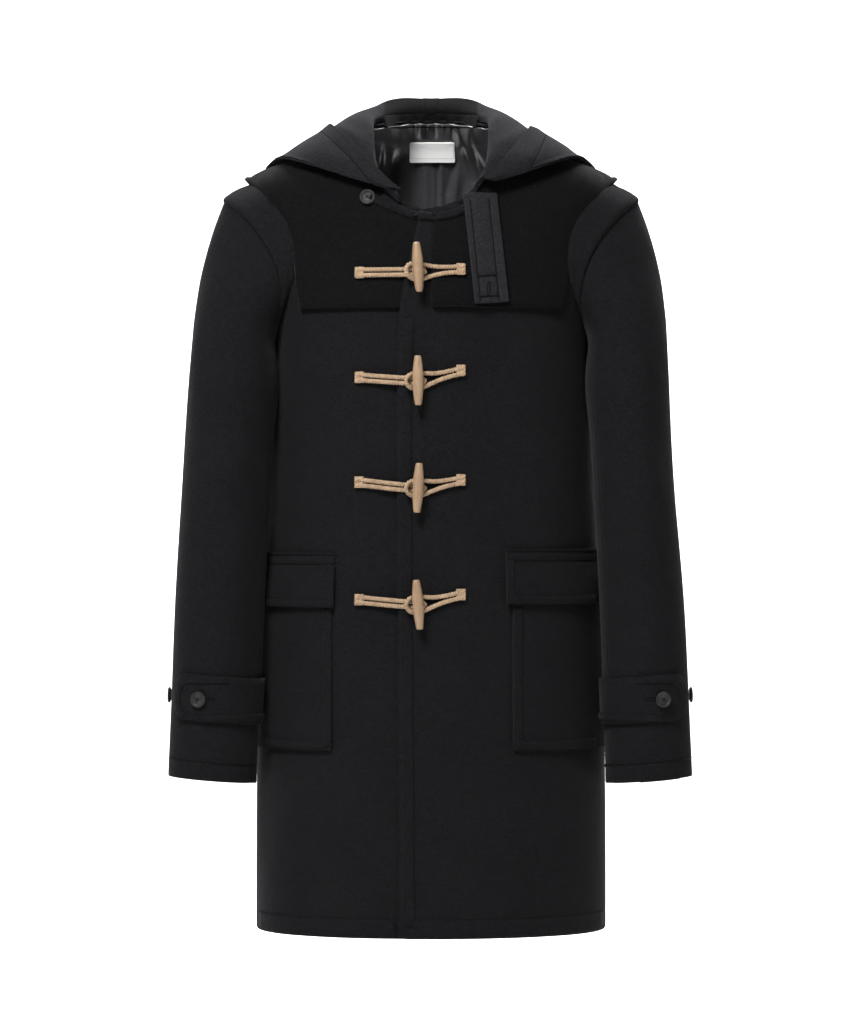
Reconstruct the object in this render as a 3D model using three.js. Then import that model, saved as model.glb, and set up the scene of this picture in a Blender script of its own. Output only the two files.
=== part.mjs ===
// Duffle coat in its worn shape with no wearer: hood laid back, four toggles, patch pockets,
// strapped cuffs. Millimetres, +Z up, the front faces -Y and +X is the wearer's left.
// The origin lies midway between the shoulders, where the wearer holds the coat up.
import * as THREE from 'three';

// Cloth and seams
const WOOL = 2.8;
const DOUBLE_WOOL = 4;
const SATIN = 1.2;
const SEAM_GAP = 0.3;
const LAY_GAP = 1;
const YOKE_LIFT = 1.8;
const FULLNESS = 0.16;

// Heights of the main lines
const HEM_Z = -893;
const UNDERARM_Z = -216;
const BACK_CHEST_Z = -70;
const BACK_NECK_SHARE = 2 / 3;
const YOKE_Z = -188;

// The torso: height, half width, and how far the front and the back stand from the middle plane
const TORSO = [
  { z: -900, half: 201, front: 148, back: 140 },
  { z: -690, half: 200, front: 144, back: 138 },
  { z: -520, half: 195, front: 140, back: 132 },
  { z: -400, half: 188, front: 136, back: 126 },
  { z: -287, half: 182, front: 132, back: 122 },
  { z: -218, half: 180, front: 129, back: 124 },
  { z: -168, half: 184, front: 124, back: 127 },
  { z: -130, half: 191, front: 117, back: 127 },
  { z: -87, half: 203, front: 105, back: 122 },
  { z: -60, half: 210, front: 98, back: 116 },
  { z: -35, half: 213, front: 86, back: 108 },
  { z: -20, half: 187, front: 79, back: 103 },
  { z: -8, half: 150, front: 73, back: 98 },
  { z: 8, half: 110, front: 65, back: 90 },
  { z: 29, half: 68, front: 57, back: 76 },
  { z: 48, half: 46, front: 50, back: 64 },
];

// The armhole from the underarm up the front to the shoulder tip, seen from the front
const ARMHOLE = [
  { x: 181, z: -216 }, { x: 176, z: -193 }, { x: 165, z: -172 }, { x: 157, z: -153 },
  { x: 154, z: -131 }, { x: 156, z: -108 }, { x: 164, z: -86 }, { x: 181, z: -62 },
  { x: 215, z: -35 },
];
const BACK_ARMHOLE_OUT = 6;

// The neckline from the middle of the front to the side of the neck, and the same for the back
const NECKLINE = [
  { x: 0, z: -77 }, { x: 18, z: -75 }, { x: 38, z: -66 }, { x: 54, z: -49 },
  { x: 63, z: -26 }, { x: 66, z: 3 }, { x: 68, z: 29 },
];
const BACK_NECKLINE = [{ x: 0, z: 40 }, { x: 24, z: 40 }, { x: 46, z: 37 }, { x: 68, z: 29 }];

// The visible edge of the wearer's left front, from the hem up to the neck
const FRONT_EDGE = [
  { z: -900, x: -35 }, { z: -517, x: -37 }, { z: -287, x: -38 }, { z: -187, x: -35 },
  { z: -160, x: -30 }, { z: -111, x: -19 }, { z: -90, x: -17 }, { z: -77, x: -12 },
];

// Sleeve rings from the sleeve head to the cuff: outer and inner points in the front view,
// how far the ring's middle hangs forward, its half depth, and how far it bows to the body
const SLEEVE = [
  { outerX: 238, outerZ: -58, innerX: 184, innerZ: -224, forward: 1, depth: 73, bow: 38 },
  { outerX: 251, outerZ: -92, innerX: 185, innerZ: -232, forward: 7, depth: 73, bow: 28 },
  { outerX: 263, outerZ: -138, innerX: 184, innerZ: -243, forward: 16, depth: 72, bow: 17 },
  { outerX: 270, outerZ: -182, innerX: 183, innerZ: -258, forward: 28, depth: 70, bow: 8 },
  { outerX: 274, outerZ: -232, innerX: 182, innerZ: -282, forward: 39, depth: 68, bow: 3 },
  { outerX: 278, outerZ: -290, innerX: 183, innerZ: -318, forward: 48, depth: 65, bow: 0 },
  { outerX: 284, outerZ: -402, innerX: 187, innerZ: -418, forward: 62, depth: 61, bow: 0 },
  { outerX: 291, outerZ: -517, innerX: 193, innerZ: -527, forward: 71, depth: 57, bow: 0 },
  { outerX: 294, outerZ: -622, innerX: 196, innerZ: -630, forward: 73, depth: 53, bow: 0 },
  { outerX: 298, outerZ: -714, innerX: 197, innerZ: -722, forward: 77, depth: 50, bow: 0 },
];

// The hood laid back, from its front end at the wearer's right round the back to the left:
// the place along the neckline, the top of the roll, the far fold and the free edge
const HOOD = [
  { t: -1, roll: [-40, -103, -56], fold: [-52, -103, -54], edge: [-33, -108, -58] },
  { t: -0.9, roll: [-62, -92, -36], fold: [-90, -92, -43], edge: [-54, -106, -37] },
  { t: -0.76, roll: [-80, -70, 2], fold: [-134, -76, -27], edge: [-82, -86, -3] },
  { t: -0.62, roll: [-84, -38, 31], fold: [-162, -42, -20], edge: [-106, -55, 19] },
  { t: -0.5, roll: [-86, 0, 42], fold: [-177, 4, -18], edge: [-117, -8, 27] },
  { t: -0.34, roll: [-74, 48, 53], fold: [-170, 78, -62], edge: [-118, 62, 15] },
  { t: -0.17, roll: [-44, 82, 67], fold: [-118, 128, -148], edge: [-82, 116, -4] },
  { t: 0, roll: [0, 92, 67], fold: [0, 148, -198], edge: [0, 142, -22] },
  { t: 0.17, roll: [44, 82, 67], fold: [118, 128, -148], edge: [82, 116, -4] },
  { t: 0.34, roll: [74, 48, 53], fold: [168, 78, -62], edge: [116, 62, 13] },
  { t: 0.5, roll: [84, 0, 41], fold: [173, 4, -19], edge: [112, -8, 24] },
  { t: 0.62, roll: [82, -38, 30], fold: [158, -42, -21], edge: [106, -50, 9] },
  { t: 0.76, roll: [78, -68, 2], fold: [134, -76, -28], edge: [90, -82, -12] },
  { t: 0.9, roll: [68, -88, -30], fold: [98, -88, -43], edge: [72, -98, -36] },
  { t: 1, roll: [56, -98, -46], fold: [70, -98, -50], edge: [60, -104, -49] },
];
const HOOD_STEPS = 14;
const HOOD_UNDER_STEPS = 9;
const HOOD_OVER_STEPS = 5;
const HOOD_CLEAR = 9.6;
const HOOD_LOFT = 4.5;
const HOOD_NECK_START = { right: 0.3, left: 0.44 };

// Toggle fastenings: height, lean of the toggle, and how far the outer ends of its cord and
// of the loop stand above its middle
const TOGGLES = [
  { z: -148, lean: 0.06, cordRise: 0, loopRise: 3, seat: 1.5 },
  { z: -270, lean: 0.01, cordRise: 4.5, loopRise: 12, seat: 0.4 },
  { z: -390, lean: -0.05, cordRise: 7, loopRise: 9.5, seat: 0.6 },
  { z: -520, lean: 0.075, cordRise: 5.5, loopRise: 11.5, seat: 0.3 },
];
const TOGGLE_X = -14;
const TOGGLE_LENGTH = 56;
const TOGGLE_WAIST = 6.6;
const TOGGLE_TIP = 3.9;
const CORD_RADIUS = 2.7;
const CORD_SIDES = 8;
const CORD_END_X = -83;
const LOOP_END_X = 36;

// Patch pockets and their flaps: the inner edge differs a little from side to side
const POCKETS = [
  { side: 'right', hand: -1, pocketX: 111, flapX: 107, flapDrop: 4 },
  { side: 'left', hand: 1, pocketX: 91, flapX: 83, flapDrop: 0 },
];
const POCKET = { topZ: -500, bottomZ: -684 };
const FLAP = { topZ: -458, bottomZ: -520 };
const POCKET_OUTER_ANGLE = 1.38;

// Cuff straps: heights on the sleeve's front, and the angles round it from its outer side
const STRAP = { topZ: -600, bottomZ: -652, point: 0.6, root: 4.3 };
const CUFF_BUTTON_ANGLES = [1.28, -0.06];
const STRAP_LIFT = 1.5;
const BAND_SETBACK = { low: 0.3, tight: 2.1, heightZ: -150 };
const LEFT_SLEEVE_IN = 2;
const BUTTON_RADIUS = 9;
const BUTTON_THICK = 3.4;

const HOOD_BUTTON = { x: -71, z: -63 };
const SEAM_TAPE = { reach: 0.045, thick: 1.2, steps: 6 };

// The tab at the throat: its centre line in the front view, and its half width
const TAB = { topX: 54, topZ: -62, bottomX: 66, bottomZ: -183, half: 19 };

const COLOURS = {
  wool: '#1d1e20', satin: '#3a3b3e', jute: '#b8935c', wood: '#cfa873', button: '#2a2a2b', label: '#eeeeec',
};

const coat = new THREE.Group();
coat.name = 'duffle_coat';

function addMesh(name, geometry, colour, roughness) {
  const material = new THREE.MeshStandardMaterial({ color: COLOURS[colour], roughness, metalness: 0 });
  const mesh = new THREE.Mesh(geometry, material);
  mesh.name = name;
  coat.add(mesh);
  return mesh;
}

// Smooth value of one column of a table at a height z
function column(table, key, name, at) {
  const rows = table[0][key] < table.at(-1)[key] ? table : [...table].reverse();
  const last = rows.length - 1;
  let i = rows.findIndex((row) => row[key] > at) - 1;
  if (i === -2) i = last - 1;
  i = Math.max(0, Math.min(last - 1, i));
  const slope = (k) => {
    const low = rows[Math.max(0, k - 1)];
    const high = rows[Math.min(last, k + 1)];
    return (high[name] - low[name]) / (high[key] - low[key]);
  };
  const span = rows[i + 1][key] - rows[i][key];
  const s = (at - rows[i][key]) / span;
  const s2 = s * s;
  const s3 = s2 * s;
  return (2 * s3 - 3 * s2 + 1) * rows[i][name] + (s3 - 2 * s2 + s) * span * slope(i)
    + (3 * s2 - 2 * s3) * rows[i + 1][name] + (s3 - s2) * span * slope(i + 1);
}

const smooth = (from, to, value) => THREE.MathUtils.smoothstep(value, from, to);
const mix = THREE.MathUtils.lerp;

// A point of the torso: the angle runs from 0 at the middle of the front over a quarter turn
// at the side to a half turn at the middle of the back, negative on the wearer's right
function torso(angle, z) {
  const half = column(TORSO, 'z', 'half', z);
  const depth = column(TORSO, 'z', Math.cos(angle) > 0 ? 'front' : 'back', z);
  const round = 1 + FULLNESS * Math.sin(angle) ** 2;
  return new THREE.Vector3(half * Math.sin(angle), -depth * Math.cos(angle) * round, z);
}

function torsoNormal(angle, z) {
  const step = 0.02;
  const rise = 1.5;
  const across = torso(angle + step, z).sub(torso(angle - step, z));
  const up = torso(angle, z + rise).sub(torso(angle, z - rise));
  return across.cross(up).normalize();
}

function angleAt(x, z) {
  return Math.asin(THREE.MathUtils.clamp(x / column(TORSO, 'z', 'half', z), -1, 1));
}

// How far the wearer's left front stands off where it laps over the right one
function lapLift(x, z) {
  const layers = 1 + smooth(YOKE_Z - 40, YOKE_Z - 4, z);
  const fade = (1 - smooth(42, 78, x)) * (1 - smooth(-62, -24, z));
  return (WOOL + YOKE_LIFT) * layers * fade;
}

const spline = (rows) => new THREE.CatmullRomCurve3(rows.map((row) => new THREE.Vector3(row.x, 0, row.z)));
const armholeCurve = spline(ARMHOLE);
const necklineCurve = spline(NECKLINE);
const backNecklineCurve = spline(BACK_NECKLINE);

// The four edges of a panel as angle and height; v is 0 at the hem, 1 at the underarm and
// 2 at the shoulder seam
function outerEdge(v, back) {
  if (v <= 1) return { angle: Math.PI / 2, z: mix(HEM_Z, UNDERARM_Z, v) };
  const point = armholeCurve.getPoint(v - 1);
  const out = back ? BACK_ARMHOLE_OUT * Math.sin(Math.PI * (v - 1)) : 0;
  return { angle: angleAt(point.x + out, point.z), z: point.z };
}

function innerEdge(v, side) {
  const back = side === 'back';
  const top = back ? BACK_CHEST_Z : NECKLINE[0].z;
  if (v <= 1.5) {
    const z = v <= 1 ? mix(HEM_Z, UNDERARM_Z, v) : mix(UNDERARM_Z, top, (v - 1) * 2);
    if (back) return { angle: 0, z };
    const edge = column(FRONT_EDGE, 'z', 'x', z);
    return { angle: angleAt(edge, z), z };
  }
  const t = (v - 1.5) * 2;
  if (back) {
    if (t <= BACK_NECK_SHARE) return { angle: 0, z: mix(top, BACK_NECKLINE[0].z, t / BACK_NECK_SHARE) };
    const { x, z } = backNecklineCurve.getPoint((t - BACK_NECK_SHARE) / (1 - BACK_NECK_SHARE));
    return { angle: angleAt(x, z), z };
  }
  const { x, z } = necklineCurve.getPoint(t);
  const start = column(FRONT_EDGE, 'z', 'x', NECKLINE[0].z) * (1 - t) ** 3;
  return { angle: angleAt(x + start, z), z };
}

// One grid point of a front or back panel; hand is 1 on the wearer's left and -1 on the right
function panelPoint(u, inner, outer, hand, side) {
  const z = mix(inner.z, outer.z, u);
  const local = mix(inner.angle, outer.angle, u);
  const angle = side === 'back' ? hand * (Math.PI - local) : hand * local;
  const point = torso(angle, z);
  const normal = torsoNormal(angle, z);
  if (side === 'front' && hand === 1) point.addScaledVector(normal, lapLift(point.x, z));
  return { point, normal };
}

function panelGrid(vs, us, hand, side) {
  return vs.map((v) => {
    const inner = innerEdge(v, side);
    const outer = outerEdge(v, side === 'back');
    return us.map((u) => panelPoint(u, inner, outer, hand, side));
  });
}

const steps = (from, to, count) => Array.from({ length: count + 1 }, (_, i) => mix(from, to, i / count));

// Pulls the named borders of a grid back, by half a seam gap where no amount is given
function trim(grid, borders, amount = () => SEAM_GAP / 2) {
  const rows = grid.length;
  const cols = grid[0].length;
  const copy = grid.map((row) => row.map(({ point, normal }) => ({ point: point.clone(), normal })));
  const pull = (cell, next, row, col) => {
    const step = next.point.clone().sub(cell.point);
    cell.point.addScaledVector(step, Math.min(0.9, amount(row, col) / Math.max(step.length(), SEAM_GAP)));
  };
  if (borders.includes('start')) copy[0].forEach((cell, j) => pull(cell, grid[1][j], 0, j));
  if (borders.includes('end')) copy[rows - 1].forEach((cell, j) => pull(cell, grid[rows - 2][j], rows - 1, j));
  if (borders.includes('near')) copy.forEach((row, i) => pull(row[0], grid[i][1], i, 0));
  if (borders.includes('far')) copy.forEach((row, i) => pull(row[cols - 1], grid[i][cols - 2], i, cols - 1));
  return copy;
}

// Six times the volume inside a closed list of triangles, negative when they face inwards
function signedVolume(positions, triangles) {
  const at = (i) => new THREE.Vector3().fromArray(positions, 3 * i);
  return triangles.reduce((sum, [a, b, c]) => sum + at(a).dot(at(b).cross(at(c))), 0);
}

// A closed wall through grids that share their border points: low and high say how far its
// two faces stand from the grid along the normals
function wall(grids, low, high) {
  const index = new Map();
  const cells = [];
  const quads = [];
  const keyOf = (p) => p.toArray().map((value) => Math.round(value * 100) || 0).join();
  const add = (cell) => {
    const key = keyOf(cell.point);
    if (!index.has(key)) {
      index.set(key, cells.length);
      cells.push({ point: cell.point, normal: cell.normal.clone() });
    }
    return index.get(key);
  };
  for (const grid of grids) {
    const ids = grid.map((row) => row.map(add));
    for (let i = 0; i + 1 < ids.length; i += 1) {
      for (let j = 0; j + 1 < ids[0].length; j += 1) {
        quads.push([ids[i][j], ids[i][j + 1], ids[i + 1][j + 1], ids[i + 1][j]]);
      }
    }
  }
  const faces = [];
  const apart = (a, b) => cells[a].point.distanceTo(cells[b].point);
  for (const [a, b, c, d] of quads) {
    const split = apart(a, c) < apart(b, d) ? [[a, b, c], [a, c, d]] : [[a, b, d], [b, c, d]];
    faces.push(...split.filter((face) => new Set(face).size === 3));
  }
  const count = cells.length;
  const positions = [];
  for (const offset of [high, low]) {
    for (const { point, normal } of cells) positions.push(...point.clone().addScaledVector(normal, offset));
  }
  const open = new Map();
  for (const face of faces) {
    face.forEach((a, k) => {
      const b = face[(k + 1) % 3];
      if (!open.delete(`${b},${a}`)) open.set(`${a},${b}`, [a, b]);
    });
  }
  const triangles = [];
  for (const [a, b, c] of faces) triangles.push([a, b, c], [a + count, c + count, b + count]);
  for (const [a, b] of open.values()) triangles.push([b, a, a + count], [b, a + count, b + count]);
  const inside = signedVolume(positions, triangles) < 0;
  const geometry = new THREE.BufferGeometry();
  geometry.setAttribute('position', new THREE.Float32BufferAttribute(positions, 3));
  geometry.setIndex(triangles.flatMap(([a, b, c]) => (inside ? [a, c, b] : [a, b, c])));
  geometry.computeVertexNormals();
  return geometry;
}

// Normals worked out from the grid itself, for grids that are not on the torso
function withNormals(points, closed, turn = 1) {
  const rows = points.length;
  const cols = points[0].length;
  const col = (j) => (closed ? (j + cols - 1) % (cols - 1) : Math.max(0, Math.min(cols - 1, j)));
  return points.map((row, i) => row.map((point, j) => {
    const left = row[closed && j === 0 ? cols - 2 : col(j - 1)];
    const right = row[closed && j === cols - 1 ? 1 : col(j + 1)];
    const along = points[Math.min(rows - 1, i + 1)][j].clone().sub(points[Math.max(0, i - 1)][j]);
    const across = right.clone().sub(left);
    const normal = across.cross(along).normalize().multiplyScalar(turn);
    return { point: point.clone(), normal };
  }));
}

const slice = (grid, rowFrom, rowTo, colFrom, colTo) => grid
  .slice(rowFrom, rowTo + 1)
  .map((row) => row.slice(colFrom, colTo + 1));

// A point between the points of a grid, by row and column numbers with fractions
function between(grid, row, col) {
  const i = Math.min(grid.length - 2, Math.floor(row));
  const j = Math.min(grid[0].length - 2, Math.floor(col));
  const blend = (key) => {
    const low = grid[i][j][key].clone().lerp(grid[i][j + 1][key], col - j);
    const high = grid[i + 1][j][key].clone().lerp(grid[i + 1][j + 1][key], col - j);
    return low.lerp(high, row - i);
  };
  return { point: blend('point'), normal: blend('normal').normalize() };
}

const lifted = (grid, lift) => grid.map((row, i) => row.map(({ point, normal }, j) => ({
  point: point.clone().addScaledVector(normal, lift(i, j)),
  normal,
})));

// A point on the outside of the fronts, given as seen from the front
function onFront(x, z) {
  const angle = angleAt(x, z);
  const normal = torsoNormal(angle, z);
  const lift = x > column(FRONT_EDGE, 'z', 'x', z) ? lapLift(x, z) : 0;
  return { point: torso(angle, z).addScaledVector(normal, lift), normal };
}

const CHEST_ROWS = steps(1, 1.5, 4);
const SHOULDER_ROWS = steps(1.5, 2, 6).slice(1);
const PANEL_ROWS = [...steps(0, 1, 9).slice(0, -1), ...CHEST_ROWS, ...SHOULDER_ROWS];
const FRONT_COLS = steps(0, 1, 11);
const BACK_COLS = steps(0, 1, 9);
const HANDS = [{ side: 'left', hand: 1 }, { side: 'right', hand: -1 }];

function makeFronts() {
  for (const { side, hand } of HANDS) {
    const grid = trim(panelGrid(PANEL_ROWS, FRONT_COLS, hand, 'front'), ['far', 'end']);
    addMesh(`front_${side}`, wall([grid], -WOOL, 0), 'wool', 0.95);
  }
}

// Both halves of the back, without the seam gap along the middle
function backGrids(rows, cols, borders) {
  const halves = HANDS.map(({ hand }) => trim(panelGrid(rows, cols, hand, 'back'), borders));
  halves[1].forEach((row) => row.reverse());
  return halves;
}

function makeBack() {
  addMesh('back', wall(backGrids(PANEL_ROWS, BACK_COLS, ['far', 'end']), -WOOL, 0), 'wool', 0.95);
  const rows = [...CHEST_ROWS, ...SHOULDER_ROWS.slice(0, -1)];
  const lining = backGrids(rows, BACK_COLS.slice(0, -1), []);
  const face = -WOOL - LAY_GAP;
  addMesh('lining', wall(lining, face - SATIN, face), 'satin', 0.35);
}

// The yoke lies on the front and the back in one piece over the shoulder. Its lower edge is
// level, and its lower corner runs up to the armhole
function yokeRow(v, hand, side, corner) {
  const back = side === 'back';
  const span = (w) => ({ inner: innerEdge(w, side), outer: outerEdge(w, back) });
  const level = (u) => {
    let low = 1;
    let high = 1.5;
    for (let i = 0; i < 24; i += 1) {
      const middle = (low + high) / 2;
      const { inner, outer } = span(middle);
      if (mix(inner.z, outer.z, u) < YOKE_Z) low = middle;
      else high = middle;
    }
    return low;
  };
  const shareOf = (angle, { inner, outer }) => (angle - inner.angle) / (outer.angle - inner.angle);
  const bottom = v < CHEST_ROWS[2];
  const edges = span(bottom ? level(0.5) : v);
  const start = edges.inner.angle < 0 ? shareOf(0, edges) : 0;
  const cornerShare = shareOf(angleAt(corner, YOKE_Z), span(level(0.8)));
  const end = bottom ? cornerShare : mix(cornerShare, 1, smooth(1, 1.5, v));
  return YOKE_COLS.map((col) => {
    const u = mix(start, end, col);
    const { inner, outer } = bottom ? span(level(u)) : edges;
    return panelPoint(u, inner, outer, hand, side);
  });
}

const YOKE_COLS = steps(0, 1, 11);
const YOKE_CORNER = { front: 144, back: 152 };
const YOKE_NECK_SETBACK = 5;

function makeYokes() {
  const rows = [1, ...CHEST_ROWS.slice(2), ...SHOULDER_ROWS];
  const neck = rows.findIndex((v) => v > 1.5) - 1;
  const middle = rows.length - 1;
  const backNeck = 2 * middle - neck - 4;
  const setback = (i) => (i >= neck && i <= backNeck ? YOKE_NECK_SETBACK : SEAM_GAP / 2);
  for (const { side, hand } of HANDS) {
    const front = rows.map((v) => yokeRow(v, hand, 'front', YOKE_CORNER.front));
    const back = rows.map((v) => yokeRow(v, hand, 'back', YOKE_CORNER.back));
    const whole = trim([...front, ...back.reverse().slice(1)], ['near'], setback);
    addMesh(`yoke_${side}`, wall([trim(whole, ['far'])], YOKE_LIFT, YOKE_LIFT + WOOL), 'wool', 0.95);
  }
}

// Rings of one sleeve: the first lies on the armhole, the rest follow the sleeve table.
// Column 0 is the back seam, and the columns go round over the top to the front seam
const BACK_SEAM = -7;
const FRONT_SEAM = 10;
const RING = 24;

function armholePoint(k, hand) {
  const turn = ((k % RING) + RING) % RING;
  const back = turn > RING / 2;
  const s = Math.abs(1 - turn / (RING / 2));
  const { angle, z } = outerEdge(1 + s, back);
  const around = hand * (back ? Math.PI - angle : angle);
  return { point: torso(around, z), normal: torsoNormal(around, z) };
}

function sleeveRing(row, hand) {
  const centre = new THREE.Vector3((row.outerX + row.innerX) / 2, -row.forward, (row.outerZ + row.innerZ) / 2);
  const across = new THREE.Vector3((row.outerX - row.innerX) / 2, 0, (row.outerZ - row.innerZ) / 2);
  return (k) => {
    const turn = (2 * Math.PI * k) / RING;
    const point = centre.clone().addScaledVector(across, Math.cos(turn));
    point.y -= row.depth * Math.sin(turn);
    point.x -= row.bow * Math.sin(turn) ** 2;
    point.x *= hand;
    const share = (1 + Math.cos(turn)) / 2;
    point.x -= hand === 1 ? LEFT_SLEEVE_IN * share * (1 - smooth(-450, -180, centre.z)) : 0;
    return point;
  };
}

function sleeveGrid(hand) {
  const ks = Array.from({ length: RING + 1 }, (_, j) => j + BACK_SEAM);
  const first = ks.map((k) => armholePoint(k, hand));
  const rings = SLEEVE.map((row) => ks.map(sleeveRing(row, hand)));
  const grid = withNormals([first.map((cell) => cell.point), ...rings], true, hand);
  grid[0] = first;
  return grid;
}

function makeSleeves() {
  for (const { side, hand } of HANDS) {
    const grid = sleeveGrid(hand);
    const last = grid.length - 1;
    const seam = FRONT_SEAM - BACK_SEAM;
    const { low, tight, heightZ } = BAND_SETBACK;
    const setback = (row, col) => (row === 1 && grid[1][col].point.z < heightZ ? tight : low);
    const band = trim(slice(grid, 0, 1, 0, RING), ['start', 'end'], setback);
    addMesh(`armhole_band_${side}`, wall([band], -WOOL, 0.3), 'wool', 0.95);
    const top = trim(slice(grid, 1, last, 0, seam), ['start', 'near', 'far']);
    addMesh(`top_sleeve_${side}`, wall([top], -WOOL, 0), 'wool', 0.95);
    const under = trim(slice(grid, 1, last, seam, RING), ['start', 'near', 'far']);
    addMesh(`under_sleeve_${side}`, wall([under], -WOOL, 0), 'wool', 0.95);
    makeCuff(grid, side);
  }
}

// The row of a sleeve grid, with its fraction, where column c passes the height z
function sleeveRow(grid, c, z) {
  const heights = grid.map((row) => row[c].point.z);
  const i = heights.findIndex((height) => height < z) - 1;
  return i + (heights[i] - z) / (heights[i] - heights[i + 1]);
}

const angleToCol = (angle) => (angle * RING) / (2 * Math.PI) - BACK_SEAM;

function makeCuff(grid, side) {
  const { topZ, bottomZ, point, root } = STRAP;
  const front = Math.round(angleToCol(Math.PI / 2));
  const top = sleeveRow(grid, front, topZ);
  const bottom = sleeveRow(grid, front, bottomZ);
  const middle = (top + bottom) / 2;
  const half = (bottom - top) / 2;
  const angles = [point, point + 0.07, point + 0.2, ...steps(point + 0.34, root, 10)];
  const shares = [0.3, 0.68, 0.96];
  const strap = steps(-1, 1, 2).map((w) => angles.map((angle, j) => {
    const share = shares[j] ?? 1;
    const col = angleToCol(angle) % RING;
    return between(grid, middle + w * half * share, col);
  }));
  const lift = STRAP_LIFT + DOUBLE_WOOL;
  addMesh(`cuff_strap_${side}`, wall([strap], STRAP_LIFT, lift), 'wool', 0.95);
  CUFF_BUTTON_ANGLES.forEach((angle, i) => {
    const seat = between(grid, middle, angleToCol(angle));
    const below = i === 0 ? lift + SEAM_GAP : LAY_GAP;
    addButton(`cuff_button_${side}_${i + 1}`, seat, below);
  });
}

// A button turned about +Z, with a rim and a dished middle, seated on a point of a grid
function addButton(name, seat, lift) {
  const profile = [
    [0, 0], [0.75, 0], [1, 0.3], [1, 0.75], [0.9, 1], [0.72, 0.95], [0.6, 0.7], [0, 0.6],
  ].map(([r, h]) => new THREE.Vector2(r * BUTTON_RADIUS, h * BUTTON_THICK));
  const geometry = new THREE.LatheGeometry(profile, 14);
  geometry.rotateX(Math.PI / 2);
  const mesh = addMesh(name, geometry, 'button', 0.3);
  mesh.quaternion.setFromUnitVectors(new THREE.Vector3(0, 0, 1), seat.normal);
  mesh.position.copy(seat.point).addScaledVector(seat.normal, lift);
}

// Moves a point outward until it stands a given distance off the torso
function standOff(point, gap) {
  const level = (p) => {
    const z = THREE.MathUtils.clamp(p.z, HEM_Z, TORSO.at(-1).z);
    const half = column(TORSO, 'z', 'half', z);
    const depth = column(TORSO, 'z', p.y < 0 ? 'front' : 'back', z);
    const round = 1 + FULLNESS * Math.min(1, (p.x / half) ** 2);
    return Math.hypot(p.x / half, p.y / (depth * round)) - 1;
  };
  const step = 0.5;
  for (let pass = 0; pass < 3; pass += 1) {
    const slope = new THREE.Vector3(...['x', 'y', 'z'].map((axis) => {
      const ahead = point.clone();
      const behind = point.clone();
      ahead[axis] += step;
      behind[axis] -= step;
      return (level(ahead) - level(behind)) / (2 * step);
    }));
    const distance = level(point) / slope.length();
    if (distance < gap) point.addScaledVector(slope.normalize(), gap - distance);
  }
  return point;
}

const hoodTrack = (name, t) => new THREE.Vector3(...[0, 1, 2].map((axis) => {
  const rows = HOOD.map((row) => ({ t: row.t, value: row[name][axis] }));
  return column(rows, 't', 'value', t);
}));

// Where the hood is sewn on: the neckline, lifted by the seam gap
function neckSeam(t) {
  const side = Math.sign(t) || 1;
  const reach = Math.abs(t);
  const back = reach < 0.5;
  const front = side === 1 ? HOOD_NECK_START.left : HOOD_NECK_START.right;
  const s = back ? reach * 2 : mix(1, front, (reach - 0.5) * 2);
  const { x, z } = (back ? backNecklineCurve : necklineCurve).getPoint(s);
  const local = angleAt(x, z);
  const angle = side * (back ? Math.PI - local : local);
  const normal = torsoNormal(angle, z);
  const point = torso(angle, z);
  if (side === 1 && !back) point.addScaledVector(normal, lapLift(point.x, z));
  return { point, normal };
}

// One section of the hood, from its seam over the roll to the fold and back to the free edge
function hoodSection(t) {
  const { point: seam, normal } = neckSeam(t);
  const front = smooth(0.6, 0.86, Math.abs(t));
  const clear = mix(HOOD_CLEAR, HOOD_CLEAR + 4, front) + (t > 0 ? front * 5 : 0);
  const rise = new THREE.Vector3(0, 0, 1).lerp(normal, front).normalize();
  const foot = seam.clone().addScaledVector(rise, mix(1.9, 5.1, front));
  const stand = seam.clone().addScaledVector(rise, mix(10, 9, front));
  const roll = hoodTrack('roll', t);
  const fold = hoodTrack('fold', t);
  const edge = hoodTrack('edge', t);
  const under = new THREE.CatmullRomCurve3([foot, stand, roll, roll.clone().lerp(fold, 0.5), fold]);
  const over = new THREE.CatmullRomCurve3([
    fold, fold.clone().lerp(edge, 0.4), fold.clone().lerp(edge, 0.75), edge,
  ]);
  const lower = steps(0, 1, HOOD_UNDER_STEPS).map((s, j) => {
    const point = under.getPoint(s);
    const gap = clear + 1.5 * smooth(0.7, 1, s);
    return j < 3 ? point : standOff(point, gap);
  });
  const upper = steps(0, 1, HOOD_OVER_STEPS).slice(1).map((s) => (
    standOff(over.getPoint(s), clear + HOOD_LOFT * smooth(0, 0.3, s))));
  return [...lower, ...upper];
}

function makeHood() {
  const grid = withNormals(steps(-1, 1, HOOD_STEPS * 2).map(hoodSection), false);
  const half = WOOL / 2;
  const cols = grid[0].length - 1;
  const right = trim(slice(grid, 0, HOOD_STEPS, 0, cols), ['end']);
  addMesh('hood_right', wall([right], -half, half), 'wool', 0.95);
  const left = trim(slice(grid, HOOD_STEPS, HOOD_STEPS * 2, 0, cols), ['start']);
  addMesh('hood_left', wall([left], -half, half), 'wool', 0.95);

  const low = half + SEAM_GAP + 0.5;
  const { reach, thick } = SEAM_TAPE;
  const tape = withNormals(steps(-reach, reach, 2).map(hoodSection), false)
    .map((row) => row.slice(0, SEAM_TAPE.steps));
  const facing = Math.sign(-tape[1][1].normal.y);
  const ends = [facing * low, facing * (low + thick)].sort((a, b) => a - b);
  addMesh('hood_seam', wall([tape], ends[0], ends[1]), 'wool', 0.95);
  const seat = onFront(HOOD_BUTTON.x, HOOD_BUTTON.z);
  addButton('hood_button', seat, YOKE_LIFT + WOOL + SEAM_GAP);
}

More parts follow.
